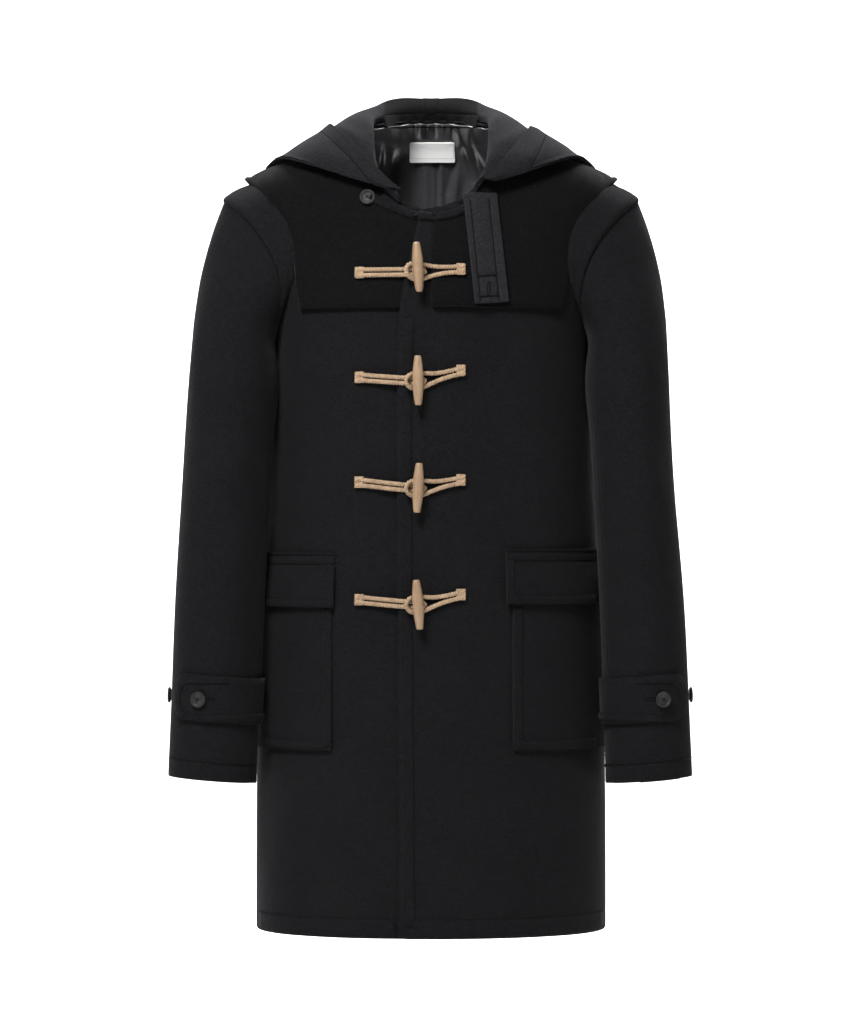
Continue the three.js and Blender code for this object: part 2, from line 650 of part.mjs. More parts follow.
function makeToggles() {
  TOGGLES.forEach(({ z, lean, cordRise, loopRise, seat: lift }, i) => {
    const seat = onFront(TOGGLE_X, z);
    const layer = z > YOKE_Z ? WOOL + YOKE_LIFT : 0;
    const edge = column(FRONT_EDGE, 'z', 'x', z);
    const rise = (x, height, out) => {
      const angle = angleAt(x, z + height);
      const climb = lapLift(0, z) * smooth(edge - 26, edge - 3, x) * (1 - smooth(42, 78, x));
      return torso(angle, z + height).addScaledVector(torsoNormal(angle, z), layer + climb + out);
    };
    const lie = CORD_RADIUS + 0.6;
    const over = lie + 2 * CORD_RADIUS + 2.6;
    const axis = lie + CORD_RADIUS + TOGGLE_WAIST + lift;
    const outline = [
      [0, -0.5], [0.9, -0.5], [1, -0.47], [1.35, -0.3], [1.62, -0.12], [1.69, 0],
      [1.62, 0.12], [1.35, 0.3], [1, 0.47], [0.9, 0.5], [0, 0.5],
    ].map(([r, h]) => new THREE.Vector2(r * TOGGLE_TIP, h * TOGGLE_LENGTH));
    const geometry = new THREE.LatheGeometry(outline, 10);
    geometry.rotateX(Math.PI / 2);
    geometry.rotateY(-lean);
    const toggle = addMesh(`toggle_${i + 1}`, geometry, 'wood', 0.6);
    toggle.position.copy(seat.point).addScaledVector(seat.normal, layer + axis);

    const pitch = CORD_RADIUS + 0.35;
    const cord = [
      rise(CORD_END_X, cordRise + pitch, lie), rise(-58, cordRise * 0.6 + pitch, lie),
      rise(-36, cordRise * 0.2 + pitch, lie), rise(TOGGLE_X, pitch, lie),
      rise(TOGGLE_X + 5, pitch * 0.7, lie), rise(TOGGLE_X + 6.5, 0, lie),
      rise(TOGGLE_X + 5, -pitch * 0.7, lie), rise(TOGGLE_X, -pitch, lie),
      rise(-36, cordRise * 0.2 - pitch, lie), rise(-58, cordRise * 0.6 - pitch, lie),
      rise(CORD_END_X, cordRise - pitch, lie),
    ];
    addCord(`toggle_cord_${i + 1}`, cord);
    const spread = 3 * pitch + 0.8;
    const half = [
      [LOOP_END_X, loopRise + pitch, lie], [16, loopRise * 0.6 + pitch, lie],
      [0, loopRise * 0.2 + pitch + 2, lie], [TOGGLE_X, spread, lie], [TOGGLE_X - 9, 8, lie + 4],
      [TOGGLE_X - 13.5, 3.4, over],
    ];
    const mirror = [
      [TOGGLE_X - 13.5, -3.4, over], [TOGGLE_X - 9, -8, lie + 4], [TOGGLE_X, -spread, lie],
      [0, loopRise * 0.2 - pitch - 2, lie], [16, loopRise * 0.6 - pitch, lie],
      [LOOP_END_X, loopRise - pitch, lie],
    ];
    addCord(`loop_cord_${i + 1}`, [...half, ...mirror].map((entry) => rise(...entry)));
  });
}

function addCord(name, points) {
  const ring = new THREE.Shape();
  steps(0, 2 * Math.PI, CORD_SIDES).slice(0, -1).forEach((turn, i) => {
    const x = CORD_RADIUS * Math.cos(turn);
    const y = CORD_RADIUS * Math.sin(turn);
    if (i === 0) ring.moveTo(x, y);
    else ring.lineTo(x, y);
  });
  const path = new THREE.CatmullRomCurve3(points);
  const geometry = new THREE.ExtrudeGeometry(ring, { steps: 26, extrudePath: path, bevelEnabled: false });
  addMesh(name, geometry, 'jute', 0.9);
}

function makePockets() {
  const grid = (hand, innerX, top, bottom, rows) => steps(bottom, top, rows).map((z) => {
    const inner = angleAt(innerX, z);
    return steps(inner, POCKET_OUTER_ANGLE, 8).map((angle) => (
      { point: torso(hand * angle, z), normal: torsoNormal(hand * angle, z) }));
  });
  for (const { side, hand, pocketX, flapX, flapDrop } of POCKETS) {
    const bag = grid(hand, pocketX, POCKET.topZ, POCKET.bottomZ, 4);
    addMesh(`pocket_${side}`, wall([bag], LAY_GAP, LAY_GAP + WOOL), 'wool', 0.95);
    const flap = grid(hand, flapX, FLAP.topZ - flapDrop, FLAP.bottomZ - flapDrop, 5);
    const raised = lifted(flap, (i) => (WOOL + LAY_GAP) * (1 - smooth(2, 4, i)));
    addMesh(`pocket_flap_${side}`, wall([raised], LAY_GAP, LAY_GAP + DOUBLE_WOOL), 'wool', 0.95);
  }
}

// The bound edge along the front of the neck, one strip on each front
function makeNeckBands() {
  const width = 11;
  for (const { side, hand } of HANDS) {
    const end = hand === 1 ? 0.26 : 0.44;
    const start = hand === 1 ? 0 : 0.13;
    const along = steps(start, end, 7).map((s) => {
      const { x, z } = necklineCurve.getPoint(s);
      const tangent = necklineCurve.getTangent(s);
      return steps(mix(0.4, 3.6, smooth(0.2, 0.28, s)), width, 2).map((w) => {
        const px = hand * (x + tangent.z * w);
        return onFront(px, z - tangent.x * w);
      });
    });
    const lay = LAY_GAP + WOOL + LAY_GAP;
    addMesh(`neck_band_${side}`, wall([along], lay, lay + 2), 'wool', 0.95);
  }
}

function makeTab() {
  const { topX, topZ, bottomX, bottomZ, half } = TAB;
  const rows = steps(0, 1, 8).map((s) => steps(-half, half, 4).map((w) => (
    onFront(mix(topX, bottomX, s) + w, mix(topZ, bottomZ, s) + w * 0.1))));
  const lay = LAY_GAP + WOOL + 2 * LAY_GAP;
  addMesh('throat_tab', wall([rows], lay, lay + DOUBLE_WOOL), 'wool', 0.95);
}

function makeLabel() {
  const left = -25.5;
  const right = 28.5;
  const rows = steps(-5, 18.5, 2).map((z) => steps(left, right, 4).map((x) => {
    const angle = Math.PI - angleAt(x, z);
    return { point: torso(angle, z), normal: torsoNormal(angle, z) };
  }));
  const face = -WOOL - LAY_GAP - SATIN - 1.4;
  addMesh('label', wall([rows], face - 0.6, face), 'label', 0.6);
}

makeFronts();
makeBack();
makeYokes();
makeSleeves();
makeHood();
makeToggles();
makePockets();
makeNeckBands();
makeTab();
makeLabel();

export default coat;
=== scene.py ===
import math

import bpy
import numpy as np
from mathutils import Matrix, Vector


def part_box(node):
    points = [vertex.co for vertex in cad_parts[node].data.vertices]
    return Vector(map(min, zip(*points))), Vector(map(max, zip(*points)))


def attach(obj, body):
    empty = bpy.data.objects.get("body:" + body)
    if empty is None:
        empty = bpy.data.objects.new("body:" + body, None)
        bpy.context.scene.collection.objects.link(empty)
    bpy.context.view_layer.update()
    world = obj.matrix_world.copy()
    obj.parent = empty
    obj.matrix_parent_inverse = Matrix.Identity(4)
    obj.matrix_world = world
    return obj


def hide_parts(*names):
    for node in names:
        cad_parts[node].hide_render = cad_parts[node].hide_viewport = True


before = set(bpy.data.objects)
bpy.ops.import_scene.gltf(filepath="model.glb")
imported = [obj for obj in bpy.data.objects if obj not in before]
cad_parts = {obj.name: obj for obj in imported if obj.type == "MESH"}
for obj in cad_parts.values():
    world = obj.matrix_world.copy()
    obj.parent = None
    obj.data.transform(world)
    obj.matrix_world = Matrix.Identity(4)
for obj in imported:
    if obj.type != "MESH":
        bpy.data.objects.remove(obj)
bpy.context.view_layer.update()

bl_info = {
    "name": "Duffle coat",
    "version": (1, 0, 0),
    "blender": (4, 5, 0),
    "location": "View3D > Sidebar > Coat",
    "description": "Builds the cloth, trimmings and studio of a duffle coat",
    "category": "Object",
}

CAMERA_DISTANCE = 5.0
CAMERA_X = -0.0052
CAMERA_Z = -0.4163
CAMERA_LENS = 152.9
BODY = "root"


def deselect():
    """Leaves nothing selected and no object active."""
    if bpy.context.object and bpy.context.object.mode != "OBJECT":
        bpy.ops.object.mode_set(mode="OBJECT")
    bpy.ops.object.select_all(action="DESELECT")


def select(obj):
    """Makes obj the one selected and active object."""
    deselect()
    obj.select_set(True)
    bpy.context.view_layer.objects.active = obj


def apply_modifiers(obj):
    """Applies each modifier of obj in its order."""
    select(obj)
    for modifier in list(obj.modifiers):
        bpy.ops.object.modifier_apply(modifier=modifier.name)


def smooth_shading(obj):
    """Shades every face of obj smooth."""
    select(obj)
    bpy.ops.object.shade_smooth()


def coordinates(obj):
    """The vertices of obj as rows of x, y, z."""
    flat = np.empty(len(obj.data.vertices) * 3, np.float64)
    obj.data.vertices.foreach_get("co", flat)
    return flat.reshape(-1, 3)


def set_coordinates(obj, points):
    """Moves the vertices of obj to points."""
    obj.data.vertices.foreach_set("co", points.ravel())
    obj.data.update()


def finish_piece(obj, material, nodes=()):
    """Gives obj its material, hides the nodes it stands in for, and hangs it on the coat's one body."""
    obj.data.materials.clear()
    obj.data.materials.append(material)
    if nodes:
        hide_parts(*nodes)
    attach(obj, BODY)
    return obj


def new_mesh(name, points, faces):
    """A mesh object made from points and faces."""
    mesh = bpy.data.meshes.new(name)
    mesh.from_pydata([tuple(point) for point in points], [], faces)
    mesh.validate()
    obj = bpy.data.objects.new(name, mesh)
    bpy.context.scene.collection.objects.link(obj)
    smooth_shading(obj)
    return obj


class Field:
    """A socket of a material's node tree, with sums written as operators."""

    def __init__(self, tree, socket):
        self.tree = tree
        self.socket = socket

    def _with(self, operation, *others, clamp=False):
        node = self.tree.nodes.new("ShaderNodeMath")
        node.operation = operation
        node.use_clamp = clamp
        for slot, value in enumerate((self, *others)):
            if isinstance(value, Field):
                self.tree.links.new(value.socket, node.inputs[slot])
            else:
                node.inputs[slot].default_value = value
        return Field(self.tree, node.outputs[0])

    def __add__(self, other):
        return self._with("ADD", other)

    def __sub__(self, other):
        return self._with("SUBTRACT", other)

    def __mul__(self, other):
        return self._with("MULTIPLY", other)

    def distance(self, other):
        """How far this value lies from other."""
        return (self - other)._with("ABSOLUTE")

    def power(self, exponent):
        """This value raised to exponent."""
        return self._with("POWER", exponent)

    def above(self, low, high):
        """0 at low, 1 at high, and between them in between."""
        return ((self - low) * (1 / (high - low)))._with("ADD", 0.0, clamp=True)


class Surface:
    """A Principled material and the nodes that feed it."""

    def __init__(self, name, constants):
        self.material = bpy.data.materials.new(name)
        self.material.use_nodes = True
        self.tree = self.material.node_tree
        self.shader = self.tree.nodes["Principled BSDF"]
        for socket, value in constants.items():
            self.shader.inputs[socket].default_value = value
        self.material.diffuse_color = constants["Base Color"]

    def node(self, kind, inputs=(), **settings):
        """Adds a node, sets it up and feeds its inputs."""
        node = self.tree.nodes.new(kind)
        for key, value in settings.items():
            setattr(node, key, value)
        for key, value in dict(inputs).items():
            if isinstance(value, Field):
                self.tree.links.new(value.socket, node.inputs[key])
            else:
                node.inputs[key].default_value = value
        return node

    def place(self, scale=(1, 1, 1)):
        """Object coordinates stretched by scale."""
        source = self.node("ShaderNodeTexCoord")
        mapping = self.node("ShaderNodeMapping", {
            "Vector": Field(self.tree, source.outputs["Object"]), "Scale": scale})
        return Field(self.tree, mapping.outputs["Vector"])

    def noise(self, scale, detail=2.0, rough=0.5, stretch=(1, 1, 1)):
        """Even noise from 0 to 1."""
        node = self.node("ShaderNodeTexNoise", {
            "Vector": self.place(stretch), "Scale": scale, "Detail": detail, "Roughness": rough})
        return Field(self.tree, node.outputs["Fac"])

    def blend(self, factor, low, high):
        """The colour between low and high that factor picks."""
        node = self.node("ShaderNodeMix", data_type="RGBA")
        self.tree.links.new(factor.socket, node.inputs["Factor"])
        for socket, value in (("A", low), ("B", high)):
            target = next(s for s in node.inputs if s.name == socket and s.type == "RGBA")
            if isinstance(value, Field):
                self.tree.links.new(value.socket, target)
            else:
                target.default_value = value
        result = next(s for s in node.outputs if s.type == "RGBA")
        return Field(self.tree, result)

    def feed(self, socket, field):
        """Feeds one socket of the shader."""
        self.tree.links.new(field.socket, self.shader.inputs[socket])

    def relief(self, height, distance, strength=1.0):
        """Makes height show as a bump of that distance in metres."""
        bump = self.node("ShaderNodeBump", {
            "Height": height, "Distance": distance, "Strength": strength})
        self.tree.links.new(bump.outputs["Normal"], self.shader.inputs["Normal"])


# Heights and places along the coat, in metres, in the coat's own frame
YOKE_Z = -0.188
HEM_Z = -0.893
FRONT_EDGE = [
    (-0.893, -0.0345), (-0.75, -0.0353), (-0.62, -0.0362), (-0.517, -0.037), (-0.4, -0.0376),
    (-0.287, -0.038), (-0.187, -0.035), (-0.16, -0.030), (-0.111, -0.019), (-0.09, -0.017),
]
TOGGLES = [
    {"z": -0.148, "lean": 0.06, "cord_rise": 0.0, "loop_rise": 0.003, "seat": 0.0015},
    {"z": -0.270, "lean": 0.01, "cord_rise": 0.0045, "loop_rise": 0.012, "seat": 0.0004},
    {"z": -0.390, "lean": -0.05, "cord_rise": 0.007, "loop_rise": 0.0095, "seat": 0.0006},
    {"z": -0.520, "lean": 0.075, "cord_rise": 0.0055, "loop_rise": 0.0115, "seat": 0.0003},
]
POCKETS = [
    {"side": "right", "hand": -1, "pocket_x": 0.111, "flap_x": 0.107, "drop": 0.004},
    {"side": "left", "hand": 1, "pocket_x": 0.091, "flap_x": 0.083, "drop": 0.0},
]
SIDES = ("left", "right")


def refined(name, piece, levels, crease=0.7, sharp=50):
    """A merged, quad-faced and subdivided copy of a CAD node, under a new name."""
    obj = bpy.data.objects.new(piece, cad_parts[name].data.copy())
    bpy.context.scene.collection.objects.link(obj)
    select(obj)
    if obj.data.has_custom_normals:
        bpy.ops.mesh.customdata_custom_splitnormals_clear()
    bpy.ops.object.mode_set(mode="EDIT")
    bpy.ops.mesh.select_all(action="SELECT")
    bpy.ops.mesh.remove_doubles(threshold=2e-5)
    bpy.ops.mesh.tris_convert_to_quads(face_threshold=0.7, shape_threshold=1.2)
    bpy.ops.mesh.select_all(action="DESELECT")
    bpy.ops.mesh.select_mode(type="EDGE")
    bpy.ops.mesh.edges_select_sharp(sharpness=math.radians(sharp))
    bpy.ops.transform.edge_crease(value=crease)
    bpy.ops.mesh.select_all(action="DESELECT")
    bpy.ops.object.mode_set(mode="OBJECT")
    if levels:
        subdivision = obj.modifiers.new("Subdivision", "SUBSURF")
        subdivision.levels = levels
        apply_modifiers(obj)
    smooth_shading(obj)
    return obj


def segment_distance(points, start, end):
    """For each point, its distance from the segment and its share along it."""
    along = end - start
    share = np.clip((points - start) @ along / max(float(along @ along), 1e-9), 0, 1)
    nearest = start + share[:, None] * along
    return np.linalg.norm(points - nearest, axis=1), share


def fold(obj, start, end, width, depth, outward, through=(1, 1, 1)):
    """Raises, or with a negative depth sinks, the cloth along a segment between two 3D points.

    outward(points) gives the direction in which each point moves, so both faces go together.
    A zero in through leaves that axis out of the distance from the segment.
    """
    points = coordinates(obj)
    axes = np.array(through)
    distance, share = segment_distance(points * axes, np.array(start) * axes, np.array(end) * axes)
    fade = np.sin(np.pi * np.clip(0.12 + 0.76 * share, 0, 1)) ** 0.7
    amount = depth * np.exp(-((distance / width) ** 2)) * fade
    set_coordinates(obj, points + amount[:, None] * outward(points))


def groove(obj, places, depth=0.0009, width=0.0022):
    """Presses a seam's narrow valley into the cloth along places."""
    points = coordinates(obj)
    spots = np.array([place for place, _ in places])
    normals = np.array([normal for _, normal in places])
    apart = np.linalg.norm(points[:, None, :] - spots[None, :, :], axis=2)
    nearest = apart.argmin(1)
    amount = depth * np.exp(-((apart.min(1) / width) ** 2))
    set_coordinates(obj, points - amount[:, None] * normals[nearest])


def swell(obj, amount):
    """Makes a cloth piece thicker and wider by amount all round, so it meets its neighbours."""
    growth = obj.modifiers.new("Swell", "DISPLACE")
    growth.strength = amount
    growth.mid_level = 0
    apply_modifiers(obj)


def away_from_axis(x, y):
    """Directions that point away from the upright line through x, y."""
    def outward(points):
        flat = points - np.array([x, y, 0.0])
        flat[:, 2] = 0
        return flat / np.maximum(np.linalg.norm(flat, axis=1), 1e-6)[:, None]
    return outward


def forward(points):
    """Directions that all point out of the coat's front."""
    return np.tile(np.array([0.0, -1.0, 0.0]), (len(points), 1))


def hit(targets, origin, direction):
    """The nearest point and normal where a ray meets one of the targets."""
    best = None
    for target in targets:
        found, place, normal, _ = target.ray_cast(origin, direction)
        if found and (best is None or (place - origin).length < (best[0] - origin).length):
            best = (place, normal)
    return best


def from_front(targets, x, z):
    """The point and normal of the cloth seen from the front at x, z."""
    found = hit(targets, Vector((x, -0.6, z)), Vector((0, 1, 0)))
    if found is None:
        return None
    place, normal = found
    return place, (normal if normal.y < 0 else -normal)


def from_back(targets, x, z):
    """The point and normal of the cloth seen from the back at x, z."""
    found = hit(targets, Vector((x, 0.6, z)), Vector((0, -1, 0)))
    if found is None:
        return None
    place, normal = found
    return place, (normal if normal.y > 0 else -normal)


def round_about(targets, x, y, z, turn, slope=0.0):
    """The point and normal met on the way in towards the upright line through x, y."""
    way = Vector((math.cos(turn), math.sin(turn), 0))
    found = hit(targets, Vector((x, y, z + slope * math.cos(turn))) + way * 0.5, -way)
    if found is None:
        return None
    place, normal = found
    return place, (normal if normal.dot(way) > 0 else -normal)


def ring_rows(obj, shares, count=90):
    """Rows of places round a ring of cloth, each at its share of the way across the ring."""
    points = coordinates(obj)
    centre = Vector(points.mean(0))
    _, _, axes = np.linalg.svd(points - np.array(centre), full_matrices=False)
    first, second, through = (Vector(axis) for axis in axes)
    reach = (points - np.array(centre)) @ axes[2]
    levels = np.linspace(reach.min(), reach.max(), 120)
    rows = [[] for _ in shares]
    for i in range(count + 1):
        turn = 2 * math.pi * i / count
        way = first * math.cos(turn) + second * math.sin(turn)
        start = centre + way * 0.4
        met = []
        for level in levels:
            found = hit([obj], start + through * level, -way)
            if found and (found[0] - start).dot(-way) < 0.39:
                met.append(level)
        for row, share in zip(rows, shares):
            level = min(met) + (max(met) - min(met)) * share
            place, normal = hit([obj], start + through * level, -way)
            row.append((place, normal if normal.dot(way) > 0 else -normal))
    return rows


def along(corners, gap=0.006):
    """Points every gap along a line through the corners."""
    points = []
    for a, b in zip(corners, corners[1:]):
        a, b = Vector(a), Vector(b)
        count = max(1, round((b - a).length / gap))
        points += [a.lerp(b, i / count) for i in range(count)]
    return points + [Vector(corners[-1])]


def laid(route, lift):
    """The routes' places lifted off the cloth, without the ones that missed it."""
    return [(place + normal * lift, normal) for place, normal in filter(None, route)]


PADDED = ((0.0, 0.0), (0.06, 0.62), (0.22, 0.95), (0.5, 1.0), (0.8, 0.92), (0.95, 0.6), (1.0, 0.0))
TWO_RIDGES = ((0.0, 0.0), (0.05, 0.55), (0.15, 1.0), (0.30, 0.85), (0.5, 0.35), (0.70, 0.85), (0.85, 1.0),
              (0.95, 0.55), (1.0, 0.0))


def strip(name, inner, outer, height, rise=0.0004, profile=PADDED):
    """A padded rim of cloth between two rows of places on the cloth, thin at both sides."""
    count = min(len(inner), len(outer))
    points = []
    for i in range(count):
        (a, na), (b, nb) = inner[i], outer[i]
        for share, high in profile:
            normal = na.lerp(nb, share)
            points.append(a.lerp(b, share) + normal * (rise + high * height))
        points.append(b - nb * 0.0006)
        points.append(a - na * 0.0006)
    ring = len(profile) + 2
    faces = [(i * ring + j, i * ring + (j + 1) % ring, (i + 1) * ring + (j + 1) % ring, (i + 1) * ring + j)
             for i in range(count - 1) for j in range(ring)]
    faces += [tuple(reversed(range(ring))), tuple(range((count - 1) * ring, count * ring))]
    obj = new_mesh(name, points, faces)
    select(obj)
    bpy.ops.object.mode_set(mode="EDIT")
    bpy.ops.mesh.select_all(action="SELECT")
    bpy.ops.mesh.normals_make_consistent(inside=False)
    bpy.ops.object.mode_set(mode="OBJECT")
    return obj


def path_curve(name, places, closed=False):
    """A curve through places, as a guide for modifiers."""
    data = bpy.data.curves.new(name, "CURVE")
    data.dimensions = "3D"
    data.twist_mode = "MINIMUM"
    spline = data.splines.new("POLY")
    spline.points.add(len(places) - 1)
    for point, place in zip(spline.points, places):
        point.co = (*place, 1)
    spline.use_cyclic_u = closed
    obj = bpy.data.objects.new(name, data)
    bpy.context.scene.collection.objects.link(obj)
    return obj


def stitches(name, places, pitch=0.0042, length=0.0030, thick=0.00045):
    """A row of short sewn stitches along places, made by copying one rounded stitch."""
    deselect()
    bpy.ops.mesh.primitive_uv_sphere_add(segments=6, ring_count=4, radius=1)
    one = bpy.context.object
    one.scale = (length / 2, thick, thick)
    bpy.ops.object.transform_apply(location=False, rotation=True, scale=True)
    template = coordinates(one)
    faces = [tuple(face.vertices) for face in one.data.polygons]
    bpy.data.objects.remove(one)
    points, quads, travelled, due = [], [], 0.0, pitch / 2
    for (a, na), (b, _) in zip(places, places[1:]):
        step = (b - a).length
        while step > 1e-6 and travelled + step >= due:
            tangent = (b - a).normalized()
            normal = (na - tangent * na.dot(tangent)).normalized()
            side = normal.cross(tangent)
            centre = a.lerp(b, (due - travelled) / step)
            turn = np.array([tangent, side, normal])
            start = len(points) * len(template)
            points.append(template @ turn + np.array(centre))
            quads += [tuple(start + v for v in face) for face in faces]
            due += pitch
        travelled += step
    if not points:
        return None
    return new_mesh(name, np.concatenate(points), quads)


def tube(name, places, radius, sides=8, tip=None):
    """A round cord through places."""
    curve = path_curve(name + "_guide", places)
    curve.data.bevel_depth = radius
    curve.data.bevel_resolution = max(0, sides // 4 - 1)
    curve.data.use_fill_caps = True
    if tip:
        for point, share in zip(curve.data.splines[0].points, tip):
            point.radius = share
    select(curve)
    bpy.ops.object.convert(target="MESH")
    obj = bpy.context.object
    obj.name = name
    obj.data.name = name
    smooth_shading(obj)
    return obj


def joined(name, pieces):
    """One object out of several."""
    pieces = [piece for piece in pieces if piece is not None]
    deselect()
    for piece in pieces:
        piece.select_set(True)
    bpy.context.view_layer.objects.active = pieces[0]
    bpy.ops.object.join()
    obj = bpy.context.object
    obj.name = name
    obj.data.name = name
    return obj


# Soft troughs and ridges: two ends, width, and height, positive where the cloth stands out
BODY_FOLDS = [
    ((0.150, -0.235), (0.168, -0.42), 0.022, 0.0035),
    ((0.125, -0.30), (0.120, -0.62), 0.030, 0.0030),
    ((0.060, -0.66), (0.075, -0.88), 0.035, 0.0030),
    ((0.130, -0.72), (0.140, -0.88), 0.028, -0.0028),
    ((0.170, -0.70), (0.178, -0.88), 0.020, 0.0030),
    ((0.100, -0.21), (0.040, -0.30), 0.018, -0.0018),
]
BACK_FOLDS = [
    ((0.09, 0.125, -0.24), (0.11, 0.13, -0.86), 0.030, 0.0035),
    ((-0.08, 0.125, -0.26), (-0.10, 0.13, -0.86), 0.030, 0.0035),
    ((0.0, 0.125, -0.30), (0.01, 0.13, -0.88), 0.034, -0.0035),
    ((0.155, 0.10, -0.26), (0.168, 0.10, -0.80), 0.022, -0.0030),
    ((-0.155, 0.10, -0.26), (-0.165, 0.10, -0.80), 0.022, -0.0030),
]
SLEEVE_FOLDS = {
    "left": [
        ((0.200, -0.10, -0.300), (0.262, -0.115, -0.330), 0.011, -0.0030),
        ((0.204, -0.11, -0.345), (0.270, -0.118, -0.385), 0.012, 0.0026),
        ((0.205, -0.11, -0.405), (0.275, -0.120, -0.430), 0.011, -0.0028),
        ((0.206, -0.12, -0.470), (0.262, -0.128, -0.455), 0.012, 0.0022),
        ((0.208, -0.12, -0.545), (0.275, -0.125, -0.520), 0.013, -0.0020),
        ((0.275, -0.06, -0.160), (0.268, -0.09, -0.290), 0.018, 0.0022),
        ((0.190, 0.02, -0.350), (0.250, 0.03, -0.390), 0.014, -0.0032),
        ((0.190, 0.00, -0.430), (0.255, 0.015, -0.455), 0.014, 0.0026),
    ],
    "right": [
        ((0.204, -0.10, -0.290), (0.255, -0.112, -0.325), 0.011, -0.0026),
        ((0.206, -0.11, -0.355), (0.272, -0.118, -0.380), 0.013, 0.0028),
        ((0.208, -0.11, -0.415), (0.268, -0.122, -0.450), 0.012, -0.0028),
        ((0.208, -0.12, -0.485), (0.272, -0.125, -0.470), 0.013, 0.0020),
        ((0.212, -0.12, -0.560), (0.270, -0.125, -0.540), 0.014, -0.0018),
        ((0.278, -0.06, -0.170), (0.272, -0.09, -0.300), 0.018, 0.0022),
        ((0.194, 0.02, -0.340), (0.256, 0.03, -0.385), 0.014, -0.0032),
        ((0.194, 0.00, -0.440), (0.258, 0.015, -0.460), 0.014, 0.0026),
    ],
}
HOOD_FOLDS = {
    "left": [
        ((0.085, -0.075, 0.000), (0.120, -0.020, 0.020), 0.009, 0.0040),
        ((0.105, -0.075, -0.018), (0.150, -0.020, 0.000), 0.008, -0.0035),
        ((0.075, 0.075, 0.030), (0.120, 0.020, 0.035), 0.014, 0.0040),
        ((0.040, 0.135, -0.080), (0.110, 0.110, -0.060), 0.016, -0.0040),
    ],
    "right": [
        ((0.080, -0.075, 0.005), (0.118, -0.020, 0.026), 0.009, 0.0040),
        ((0.100, -0.078, -0.012), (0.148, -0.020, 0.003), 0.008, -0.0035),
        ((0.075, 0.075, 0.030), (0.120, 0.020, 0.035), 0.014, 0.0040),
        ((0.045, 0.135, -0.090), (0.115, 0.110, -0.055), 0.016, -0.0040),
    ],
}
# The strap's outline from its root round its point and back, and the same set in: turn, height
STRAP_RIM = [
    (3.9, -0.6012, 3.9, -0.6085), (2.4, -0.6012, 2.4, -0.6085), (0.98, -0.6014, 1.06, -0.6085),
    (0.80, -0.6060, 0.92, -0.6120), (0.66, -0.6185, 0.84, -0.6215), (0.66, -0.6335, 0.84, -0.6305),
    (0.80, -0.6460, 0.92, -0.6400), (0.98, -0.6506, 1.06, -0.6435), (2.4, -0.6508, 2.4, -0.6435),
    (3.9, -0.6508, 3.9, -0.6435),
]
NECK_ROLL = [
    (-0.066, -0.0560), (-0.054, -0.0620), (-0.040, -0.0680), (-0.026, -0.0740), (-0.012, -0.0775),
    (0.004, -0.0785), (0.020, -0.0765), (0.033, -0.0710), (0.044, -0.0645),
]
HOOD_SEAMS = {
    "right": [(-0.056, -0.057), (-0.068, -0.045), (-0.094, -0.013), (-0.118, 0.012), (-0.130, 0.024)],
    "left": [(0.098, -0.052), (0.109, -0.036), (0.118, -0.016), (0.126, 0.003), (0.131, 0.016)],
}
SLEEVE_LEAN = {"left": 0.0015, "right": 0.0040}
CUFF_DROP = 0.0045
LABEL_LIFT = 0.0040
OUTER_IN = {"left": 0.0060, "right": 0.0}
# Pleat, gathers under the neck seam and slanting folds of the satin: x, z at both ends
LINING_FOLDS = [
    ((0.0076, -0.006), (0.0080, -0.085), 0.0022, -0.0028),
    ((0.0118, -0.006), (0.0122, -0.085), 0.0032, 0.0030),
    ((-0.0451, 0.050), (-0.0465, 0.020), 0.0036, 0.0026),
    ((-0.0360, 0.050), (-0.0370, 0.018), 0.0034, -0.0022),
    ((-0.0263, 0.050), (-0.0275, 0.022), 0.0036, 0.0028),
    ((-0.0190, 0.050), (-0.0195, 0.021), 0.0032, -0.0024),
    ((-0.0123, 0.050), (-0.0120, 0.023), 0.0034, 0.0024),
    ((-0.0040, 0.050), (-0.0045, 0.022), 0.0032, -0.0022),
    ((0.0060, 0.050), (0.0055, 0.023), 0.0034, 0.0024),
    ((0.0140, 0.050), (0.0150, 0.022), 0.0032, -0.0024),
    ((0.0228, 0.050), (0.0235, 0.020), 0.0036, 0.0028),
    ((0.0320, 0.050), (0.0335, 0.012), 0.0034, -0.0024),
    ((0.0416, 0.050), (0.0440, 0.010), 0.0038, 0.0030),
    ((0.0480, 0.050), (0.0510, 0.012), 0.0032, -0.0022),
    ((0.0545, 0.045), (0.0600, 0.012), 0.0036, 0.0026),
    ((0.0369, 0.020), (0.0509, -0.028), 0.0036, -0.0028),
    ((0.0440, 0.018), (0.0590, -0.022), 0.0040, 0.0030),
    ((0.0252, -0.009), (0.0205, -0.040), 0.0042, -0.0026),
    ((0.0310, -0.012), (0.0270, -0.060), 0.0050, 0.0032),
    ((-0.0591, 0.020), (-0.0591, -0.012), 0.0040, -0.0026),
    ((-0.0520, 0.012), (-0.0560, -0.028), 0.0045, 0.0032),
    ((-0.0440, 0.006), (-0.0490, -0.034), 0.0042, -0.0026),
    ((-0.0330, -0.008), (-0.0380, -0.062), 0.0058, 0.0032),
    ((-0.0200, -0.010), (-0.0220, -0.075), 0.0058, -0.0024),
    ((-0.0070, -0.012), (-0.0060, -0.080), 0.0060, 0.0026),
    ((0.0400, -0.030), (0.0340, -0.080), 0.0060, -0.0024),
]


